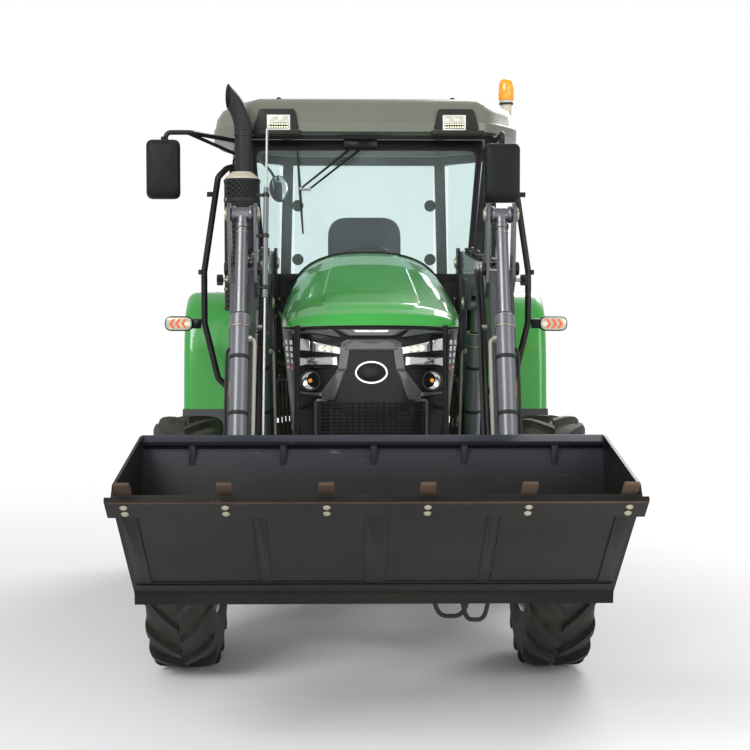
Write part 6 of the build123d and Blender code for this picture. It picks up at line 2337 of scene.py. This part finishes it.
    @staticmethod
    def dash() -> Surface:
        """Dash cowl with its hooded gauges, buttons, switch stalk and the column's shroud.

        Returns:
            The surface.
        """
        made = Surface()
        section = [(1.168, 1.535), (1.325, 1.535), (1.330, 1.640), (1.300, 1.700), (1.248, 1.752),
            (1.168, 1.760)]
        edge = rounded(section, 0.020, 5)[::-1]
        frame = Frame((-0.236, AXLE_Y, 0), (0, 1, 0), (0, 0, 1))
        made.slab(edge, frame, 0.472, 0.012, 0)
        tilt = Frame(row(0, 1.283, 1.712), (-1, 0, 0), unit((0, -0.70, 0.71)))
        made.slab(box_outline(0.300, 0.096, 0.022), tilt, 0.012, 0.004, 0)
        normal = np.cross(unit(tilt.u), unit(tilt.v))
        for x in (-0.085, 0.0, 0.085):
            place = tilt.place(np.array([[x, 0.004]]), 0.012)[0]
            made.turned([(-0.002, 0.034), (0.005, 0.034), (0.005, 0.029), (0.0005, 0.028), (0.0005, 0.0)],
                place, normal, 30, 1)
        for k in range(5):
            place = tilt.place(np.array([[-0.10 + 0.05 * k, -0.040]]), 0.011)[0]
            made.rod(place, place + normal * 0.006, 0.0065, 12, 2)
        made.turned([(0, 0.052), (0.06, 0.046), (0.135, 0.036), (0.150, 0.033)], row(0, 1.300, 1.650),
            (0, 0.130, 0.095), 28, 0)
        made.tube(smooth_path([row(-0.03, 1.380, 1.72), row(-0.11, 1.385, 1.735), row(-0.16, 1.38, 1.74)], 6),
            0.006, 8, 0)
        made.tube(smooth_path([row(0.03, 1.380, 1.72), row(0.11, 1.385, 1.735), row(0.155, 1.38, 1.74)], 6),
            0.006, 8, 0)
        return made

    @staticmethod
    def controls() -> Surface:
        """Side console on the right with levers, pedals on the floor and the mat.

        Returns:
            The surface.
        """
        made = Surface()
        made.box((-0.500, 1.760, 1.296), (-0.345, 2.280, 1.560), 0.020, 0, "up")
        made.box((0.345, 1.800, 1.296), (0.500, 2.280, 1.540), 0.020, 0, "up")
        for k, y in enumerate((1.82, 1.90, 1.98, 2.06)):
            base, top = row(-0.420, y, 1.556), row(-0.415, y - 0.035, 1.680 - 0.012 * k)
            made.rod(base, top, 0.005, 8, 1)
            made.turned([(0, 0.006), (0.006, 0.013), (0.030, 0.016), (0.046, 0.012), (0.050, 0.0)],
                top - (0, 0, 0.008), (0, -0.1, 1), 18, 2 if k in (0, 3) else 0)
        for x in (-0.15, -0.26, 0.20):
            made.tube(smooth_path([row(x, 1.35, 1.045), row(x, 1.36, 1.14), row(x, 1.33, 1.22)], 5), 0.008, 8,
                0)
            made.slab(box_outline(0.062, 0.080, 0.008), Frame(row(x, 1.335, 1.22), (-1, 0, 0),
                unit((0, -0.5, 0.85))), 0.010, 0.002, 0)
        made.box((-0.470, 1.330, 1.0304), (0.470, 1.670, 1.040), 0.006, 3)
        for n in range(11):
            x = -0.42 + 0.084 * n
            made.box((x - 0.006, 1.345, 1.039), (x + 0.006, 1.655, 1.0435), 0.002, 3)
        return made

    def build(self) -> None:
        """Makes the interior's pieces."""
        piece, on = self.shop.piece, "chassis"
        pads, base = self.seat()
        seat = piece("seat_pads", pads, on, (FABRIC,), ("seat",), "seat_fabric", sharp=60)
        piece("seat_base", base, on, (PLASTIC, SOFT_RUBBER), slot="black_plastic")
        piece("wheel_and_spokes", self.wheel(), on, (SATIN, STEEL), ("steering_wheel",), "black_plastic")
        piece("dash", self.dash(), on, (PLASTIC, SATIN, CREAM), ("console",), "black_plastic")
        piece("controls", self.controls(), on, (PLASTIC, STEEL, YELLOW, SOFT_RUBBER), slot="black_plastic")


# ------------------------------------------------------------------ exhaust, panels and running gear
class Exhaust:
    """Perforated shield round the can, its pale ring, and the pipe with its bend and slanting mouth."""

    X, Y = -0.629, 1.000

    def __init__(self, shop: Shop) -> None:
        """Keeps the shop."""
        self.shop = shop

    def shield(self) -> Surface:
        """Shield with rolled rims, its bands, and the inlet pipe below.

        Returns:
            The surface.
        """
        made, foot = Surface(), row(self.X, self.Y, 1.560)
        made.turned([(0, 0.040), (0, 0.086), (0.006, 0.092), (0.014, 0.093), (0.020, 0.090), (0.640, 0.090),
            (0.648, 0.093), (0.658, 0.093), (0.664, 0.088), (0.664, 0.050)], foot, (0, 0, 1), 64, 0)
        made.turned([(0.664, 0.086), (0.672, 0.085), (0.690, 0.062), (0.700, 0.050), (0.700, 0.040)], foot,
            (0, 0, 1), 48, 1)
        for z in (0.10, 0.55):
            made.turned([(z, 0.088), (z, 0.0925), (z + 0.018, 0.0925), (z + 0.018, 0.088)], foot, (0, 0, 1),
                48, 2)
            made.bolt(row(self.X - 0.075, self.Y - 0.055, 1.569 + z), (-0.8, -0.6, 0), 0.008, 3)
        path = bent_path([row(self.X, self.Y, 1.570), row(self.X, self.Y, 1.420), row(-0.385, self.Y, 1.300)],
            0.09)
        made.tube(path, 0.036, 24, 2)
        for k in (0.25, 0.8):
            p = path[int(k * (len(path) - 1))]
            made.turned([(-0.012, 0.034), (-0.012, 0.041), (0.012, 0.041), (0.012, 0.034)], p,
                path[int(k * (len(path) - 1)) + 1] - p, 28, 3)
        return made

    def pipe(self) -> Surface:
        """Upright pipe, its coupling collar, and an elbow whose oval mouth looks sideways and ahead.

        Returns:
            The surface.
        """
        x, lean, reach, corner = self.X + 0.008, unit((-0.92, -0.39, 0)), 0.080, 2.556
        bend = row(x, self.Y, corner)
        path = bent_path([row(x, self.Y, 2.258), bend, bend + 0.135 * (lean + np.array([0.0, 0.0, 1.0]))],
            0.12, 14)
        t = np.linspace(0, 1, 60)
        run = np.concatenate([[0], np.cumsum(np.linalg.norm(np.diff(path, axis=0), axis=1))])
        line = np.stack([np.interp(t, run / run[-1], path[:, k]) for k in range(3)], 1)
        a = np.linspace(0, 2 * math.pi, 40, endpoint=False)
        along = np.gradient(line, axis=0)
        along /= np.linalg.norm(along, axis=1, keepdims=True)
        across = np.cross(lean, (0, 0, 1))
        side = np.cross(along, across)
        skins = []
        for radius in (0.0435, 0.0395):
            ring = line[:, None] + radius * (np.cos(a)[None, :, None] * side[:, None]
                + np.sin(a)[None, :, None] * across)
            out = (ring - row(x, self.Y, 0)) @ lean - reach
            over = np.clip(out / np.maximum(along @ lean, 0.3)[:, None], 0, None)
            skins.append(ring - over[..., None] * along[:, None])
        made = Surface().grid(np.concatenate([skins[0], skins[1][::-1]]), 0, loop=True, ring=True, flip=True)
        made.turned([(0, 0.043), (0, 0.0475), (0.012, 0.0475), (0.014, 0.045), (0.026, 0.045),
            (0.028, 0.0475), (0.040, 0.0475), (0.040, 0.043)], row(x, self.Y, 2.440), (0, 0, 1), 40, 0)
        return made

    def build(self) -> None:
        """Makes the exhaust's pieces."""
        self.shop.piece("muffler_shield", self.shield(), "chassis", (SHIELD, CREAM, PIPE, ZINC), ("muffler",),
            "exhaust_steel")
        self.shop.piece("exhaust_stack", self.pipe(), "chassis", (PIPE,), ("exhaust_pipe",), "exhaust_steel")


class Body:
    """Rear fenders with rolled shoulders, the hood's side panels and the front guard."""

    ARCH = ((1.445, 1.030), (1.470, 1.300), (1.505, 1.460), (1.560, 1.565), (1.680, 1.642), (1.800, 1.6595),
        (2.200, 1.6595), (2.560, 1.6595), (2.700, 1.643), (2.820, 1.595), (2.900, 1.530), (2.965, 1.430),
        (2.995, 1.330), (3.019, 1.185))

    def __init__(self, shop: Shop) -> None:
        """Keeps the shop."""
        self.shop = shop

    def fender(self) -> Surface:
        """Left fender: the arch swept across with a rounded shoulder, an outer skirt and an inner wall.

        Returns:
            The surface.
        """
        made = Surface()
        arch = smooth_path(self.ARCH, 5)
        tangent = np.gradient(arch, axis=0)
        tangent /= np.linalg.norm(tangent, axis=1, keepdims=True)
        inward = np.stack([tangent[:, 1], -tangent[:, 0]], 1)
        a = np.linspace(0, math.pi / 2, 9)
        r = 0.050
        across = np.concatenate([[0.537, 0.560, 0.75, 0.90], 0.984 - r + r * np.sin(a),
            [0.984, 0.984, 0.976, 0.976, 0.88, 0.60, 0.545, 0.537]])
        deep = np.concatenate([[0.0, 0.0, 0.0, 0.0], r * (1 - np.cos(a)),
            [0.056, 0.060, 0.060, 0.050, 0.010, 0.008, 0.008, 0.008]])
        places = np.stack([np.broadcast_to(across, (len(arch), len(across))),
            AXLE_Y + arch[:, :1] + inward[:, :1] * deep, arch[:, 1:] + inward[:, 1:] * deep], -1)
        made.grid(places, 0, loop=True, cap=True, flip=True)
        bottom = np.stack([np.linspace(1.445, 2.600, len(arch)), np.full(len(arch), 1.002)], 1)
        bottom[:, 0] = np.clip(bottom[:, 0], 1.446, 2.600)
        wall = np.stack([arch - 0.0 * inward, bottom])
        faces = [np.stack([np.full(wall.shape[:2], x), AXLE_Y + wall[..., 0], wall[..., 1]],
            -1) for x in (0.5365, 0.544)]
        made.grid(np.concatenate([faces[0], faces[1][::-1]]), 0, ring=True, flip=True)
        y = np.linspace(1.83, 2.52, 20)
        made.tube(np.stack([np.full(20, 0.700), AXLE_Y + y, np.full(20, 1.6570)], 1), 0.006, 8, 0)
        made.tube(np.stack([np.full(20, 0.830), AXLE_Y + y, np.full(20, 1.6570)], 1), 0.006, 8, 0)
        return made

    @staticmethod
    def side_panel() -> Surface:
        """Left side panel: a leaning skin with a pressed swage, louvres and latches.

        Returns:
            The surface.
        """
        made = Surface()
        y = np.linspace(-0.249, 0.939, 70)
        z = np.linspace(0.961, 1.4945, 40)
        yy, zz = np.meshgrid(y, z, indexing="ij")
        lean = 0.318 + (zz - 0.960) / 0.535 * 0.054
        swage = 0.005 * np.exp(-((zz - 1.425) / 0.012) ** 2) + 0.004 * np.exp(-((zz - 1.075) / 0.016) ** 2)
        edge = np.clip(np.minimum.reduce([yy + 0.249, 0.939 - yy, zz - 0.961, 1.4945 - zz]) / 0.012, 0, 1)
        roll = 0.006 * (1 - np.sqrt(np.clip(1 - (1 - edge) ** 2, 0, 1)))
        outer = np.stack([lean + swage * edge - roll, AXLE_Y + yy, zz], -1)
        inner = np.stack([lean - 0.0075, AXLE_Y + yy, zz], -1)
        made.grid(outer, 0, flip=True).grid(inner, 0)
        made.grid(np.stack([inner[0], outer[0]]), 0).grid(np.stack([inner[-1], outer[-1]]), 0, flip=True)
        made.grid(np.stack([inner[:, 0], outer[:, 0]]), 0, flip=True).grid(np.stack([inner[:, -1],
            outer[:, -1]]), 0)
        for n in range(6):
            yc, zc = 0.395 + 0.062 * n, 1.290
            x = 0.318 + (zc - 0.960) / 0.535 * 0.054 + 0.001
            up = unit((0.054, 0, 0.535))
            frame = Frame(row(x, yc, zc), (0, 1, 0), up)
            made.slab(box_outline(0.034, 0.224, 0.014, 6), frame, 0.0016, 0.0006, 1)
            for k in range(-6, 7):
                made.slab(box_outline(0.030, 0.006, 0.0025, 3), Frame(frame.place(np.array([[0.0,
                    k * 0.016]]))[0], (0, 1, 0), unit((0.35, 0, 0.94))), 0.0035, 0.001, 1, 2)
        for yc in (-0.12, 0.30):
            made.slab(box_outline(0.020, 0.060, 0.006), Frame(row(0.371, yc, 1.462), (0, 1, 0), (0.1, 0, 1)),
                0.006, 0.002, 1)
        return made

    @staticmethod
    def guard() -> Surface:
        """Front guard: a slim upright tube on each side that bends into the cross bar, with its stays.

        Returns:
            The surface.
        """
        made = Surface()
        side = bent_path([row(0.296, -0.594, 1.511), row(0.300, -0.594, 1.00), row(0.300, -0.594, 0.785),
            row(0.0, -0.594, 0.785)], 0.06, 8)
        made.tube(np.vstack([side, side[::-1][1:] * (-1, 1, 1)]), 0.0115, 14, 0)
        made.box((-0.320, -0.605, 0.762), (0.320, -0.575, 0.808), 0.006, 0, "front")
        for x in (-0.120, 0.120):
            made.box((x - 0.028, -0.590, 0.762), (x + 0.028, -0.431, 0.808), 0.006, 0, "up")
            made.bolt(row(x, -0.605, 0.785), (0, -1, 0), 0.012, 1)
        for z in (1.500, 1.180):
            for x in (-0.298, 0.298):
                made.rod(row(x, -0.590, z), row(x * 0.93, -0.520, z - 0.004), 0.008, 12, 0)
        return made

    def build(self) -> None:
        """Makes the panels' pieces."""
        piece = self.shop.piece
        piece("fender_skins", self.fender().both(), "chassis", (GREEN,), ("fenders",), "green_paint",
            sharp=50)
        piece("side_panels", self.side_panel().both(), "chassis", (GREEN, PLASTIC), ("hood_sides",),
            "green_paint", sharp=50)
        piece("guard_tubes", self.guard(), "chassis", (PLASTIC, ZINC), ("front_guard",), "black_paint")


class Chassis:
    """Fittings of the axles, steps, tank, engine and hitch."""

    def __init__(self, shop: Shop) -> None:
        """Keeps the shop."""
        self.shop = shop

    @staticmethod
    def axle() -> Surface:
        """Front axle: cover with its bolts, rings, steering hoses and the steering cylinder's end collars.

        Returns:
            The surface.
        """
        made = Surface()
        made.bolt_ring(row(0, -0.150, 0.5525), (0, -1, 0), 0.118, 10, 0.011, 1)
        made.turned([(0, 0.100), (0.012, 0.096), (0.020, 0.070), (0.022, 0.0)], row(0, -0.150, 0.5525),
            (0, -1, 0), 40, 0)
        for side in (-1, 1):
            for x, r in ((0.20, 0.080), (0.36, 0.074), (0.50, 0.074)):
                made.turned([(-0.008, 0.066), (-0.008, r), (0.008, r), (0.008, 0.066)],
                    row(side * x, 0, 0.5525), (1, 0, 0), 36, 0)
            path = smooth_path([row(side * 0.10, -0.135, 0.700), row(side * 0.20, -0.155, 0.640),
                row(side * 0.34, -0.120, 0.640), row(side * 0.42, -0.080, 0.615)], 8)
            made.tube(path, 0.0085, 10, 2)
            made.rod(row(side * 0.225, -0.130, 0.5825), row(side * 0.245, -0.130, 0.5825), 0.040, 24, 0)
        return made

    @staticmethod
    def knuckle() -> Surface:
        """Left knuckle: kingpin caps with their bolts.

        Returns:
            The surface.
        """
        made = Surface()
        for z, up in ((0.7225, 1), (0.3825, -1)):
            made.turned([(-0.006, 0.0735), (0.006, 0.0735), (0.010, 0.060), (0.012, 0.0)], row(0.660, 0, z),
                (0, 0, up), 36, 0)
            made.bolt_ring(row(0.660, 0, z + up * 0.007), (0, 0, up), 0.052, 6, 0.008, 1)
        return made

    @staticmethod
    def steps() -> Surface:
        """Grip bars on the treads, and the hanger's bolts.

        Returns:
            The surface.
        """
        made = Surface()
        for z in (0.495, 0.785):
            for n in range(7):
                y = 1.150 + 0.0385 * n
                made.box((0.556, y - 0.004, z - 0.001), (0.694, y + 0.004, z + 0.006), 0.002, 0)
        for z in (0.60, 0.80, 0.96):
            for y in (1.1195, 1.4105):
                made.bolt(row(0.600, y, min(z, 0.78)), (0, -1 if y < 1.3 else 1, 0), 0.010, 1)
        return made

    @staticmethod
    def tank() -> Surface:
        """Tank's straps, filler neck and cap; the tool box's lid, hasp and hinge.

        Returns:
            The surface.
        """
        made = Surface()
        for y in (1.20, 1.33):
            made.box((-0.5315, y - 0.016, 0.560), (-0.5285, y + 0.016, 0.962), 0.001, 0, "right")
        made.turned([(0, 0.036), (0.014, 0.036), (0.018, 0.032), (0.018, 0.0)], row(-0.400, 1.265, 0.958),
            (0, 0, 1), 32, 1)
        made.box((0.478, 1.136, 0.925), (0.4845, 1.394, 0.932), 0.001, 1, "left")
        made.box((0.478, 1.245, 0.900), (0.486, 1.285, 0.945), 0.002, 2, "left")
        return made

    @staticmethod
    def engine() -> Surface:
        """What shows of the engine through the gaps: sump ribs, starter, filter and pipes.

        Returns:
            The surface.
        """
        made = Surface()
        for n in range(9):
            y = 0.36 + 0.066 * n
            for side in (-1, 1):
                made.box((side * 0.204, y - 0.005, 0.64), (side * 0.212, y + 0.005, 0.92), 0.002, 0, "left")
        for side in (-1, 1):
            made.rod(row(side * 0.228, 0.46, 1.05), row(side * 0.228, 0.64, 1.05), 0.046, 28, 0)
            made.rod(row(side * 0.238, 0.80, 0.80), row(side * 0.238, 0.80, 0.97), 0.042, 28, 1)
            made.tube(smooth_path([row(side * 0.208, 0.42, 1.26), row(side * 0.25, 0.45, 1.28),
                row(side * 0.25, 0.70, 1.27), row(side * 0.208, 0.74, 1.20)], 8), 0.014, 12, 2)
        return made

    @staticmethod
    def rear() -> Surface:
        """Case bolts, lift-arm caps, shaft guard and a row of couplers with their caps.

        Returns:
            The surface.
        """
        made = Surface()
        made.bolt_ring(row(0, 2.4405, 0.700), (0, 1, 0), 0.150, 12, 0.010, 1)
        made.turned([(0, 0.085), (0.022, 0.085), (0.024, 0.080), (0.006, 0.076), (0.004, 0.020)],
            row(0, 2.4405, 0.660), (0, 1, 0), 40, 0, (-0.4, math.pi + 0.4))
        for side in (-1, 1):
            made.bolt_ring(row(side * 0.2585, 2.200, 0.7375), (side, 0, 0), 0.145, 8, 0.013, 1)
        for k in range(4):
            made.rod(row(-0.120 + 0.08 * k, 2.436, 0.945), row(-0.120 + 0.08 * k, 2.474, 0.945), 0.017, 20, 1)
            # the caps take the amber lens finish, whose glow is painted light on parts that are no lamp
            made.rod(row(-0.120 + 0.08 * k, 2.474, 0.945), row(-0.120 + 0.08 * k, 2.482, 0.945), 0.019, 20, 2)
        return made

    def build(self) -> None:
        """Makes the running gear's pieces."""
        piece = self.shop.piece
        piece("axle_fittings", self.axle(), "chassis", (CASTING, ZINC, HOSE), slot="castings")
        for side in Side:
            caps = self.knuckle()
            piece(f"knuckle_caps_{side.word}", caps if side is Side.LEFT else caps.mirrored(),
                f"knuckle_{side.word}", (CASTING, ZINC), slot="castings")
        piece("step_grips", self.steps().both(), "chassis", (STEEL, ZINC), slot="black_paint")
        piece("tank_fittings", self.tank(), "chassis", (BLACK, PLASTIC, ZINC), slot="black_plastic")
        piece("engine_fittings", self.engine(), "chassis", (CASTING, SATIN, ZINC), slot="castings")
        piece("rear_fittings", self.rear(), "chassis", (CASTING, ZINC, AMBER), slot="castings")


class PlainFinishes:
    """Finishes of the nodes that keep their solids."""

    def __init__(self, shop: Shop) -> None:
        """Keeps the shop."""
        self.shop = shop

    def build(self) -> None:
        """Dresses the nodes."""
        d = self.shop.dress
        d(BLACK, "cab_frame", "steps", "grab_rails", "mirror_arms", "door_frame_left", "door_frame_right",
            "cab_floor", "cab_rails", "tool_box", "hitch_arms", "hitch_rods", "lower_links", "drawbar",
            "link_bracket", "loader_mounts")
        d(BucketFinish("bucket_paint", 0.98, -1.60), "bucket")
        d(ARM, "boom")
        d(CYLINDER, "lift_barrels", "dump_barrels")
        d(ROD, "lift_rods", "dump_rods")
        d(PLASTIC, "fuel_tank")
        d(FLAP, "fender_skirts")
        d(CASTING, "front_axle_housing", "front_frame", "engine_block", "drivetrain", "hitch_case",
            "knuckle_left", "knuckle_right")
        d(PANE, "windscreen", "cab_glass", "door_glass_left", "door_glass_right")
        d(STEEL, "pto_shaft")


PARTS = (PlainFinishes, Wheels, Bucket, Hood, Nose, Loader, Cab, Interior, Exhaust, Body, Chassis)


def main() -> None:
    """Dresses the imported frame."""
    logging.basicConfig(level=logging.INFO, format="%(message)s", stream=sys.stdout)
    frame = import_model()
    shop = Shop(frame)
    Studio().build()
    for part in PARTS:
        part(shop).build()
    LOG.info("%d pieces made", shop.count)


if __name__ == "__main__":
    main()
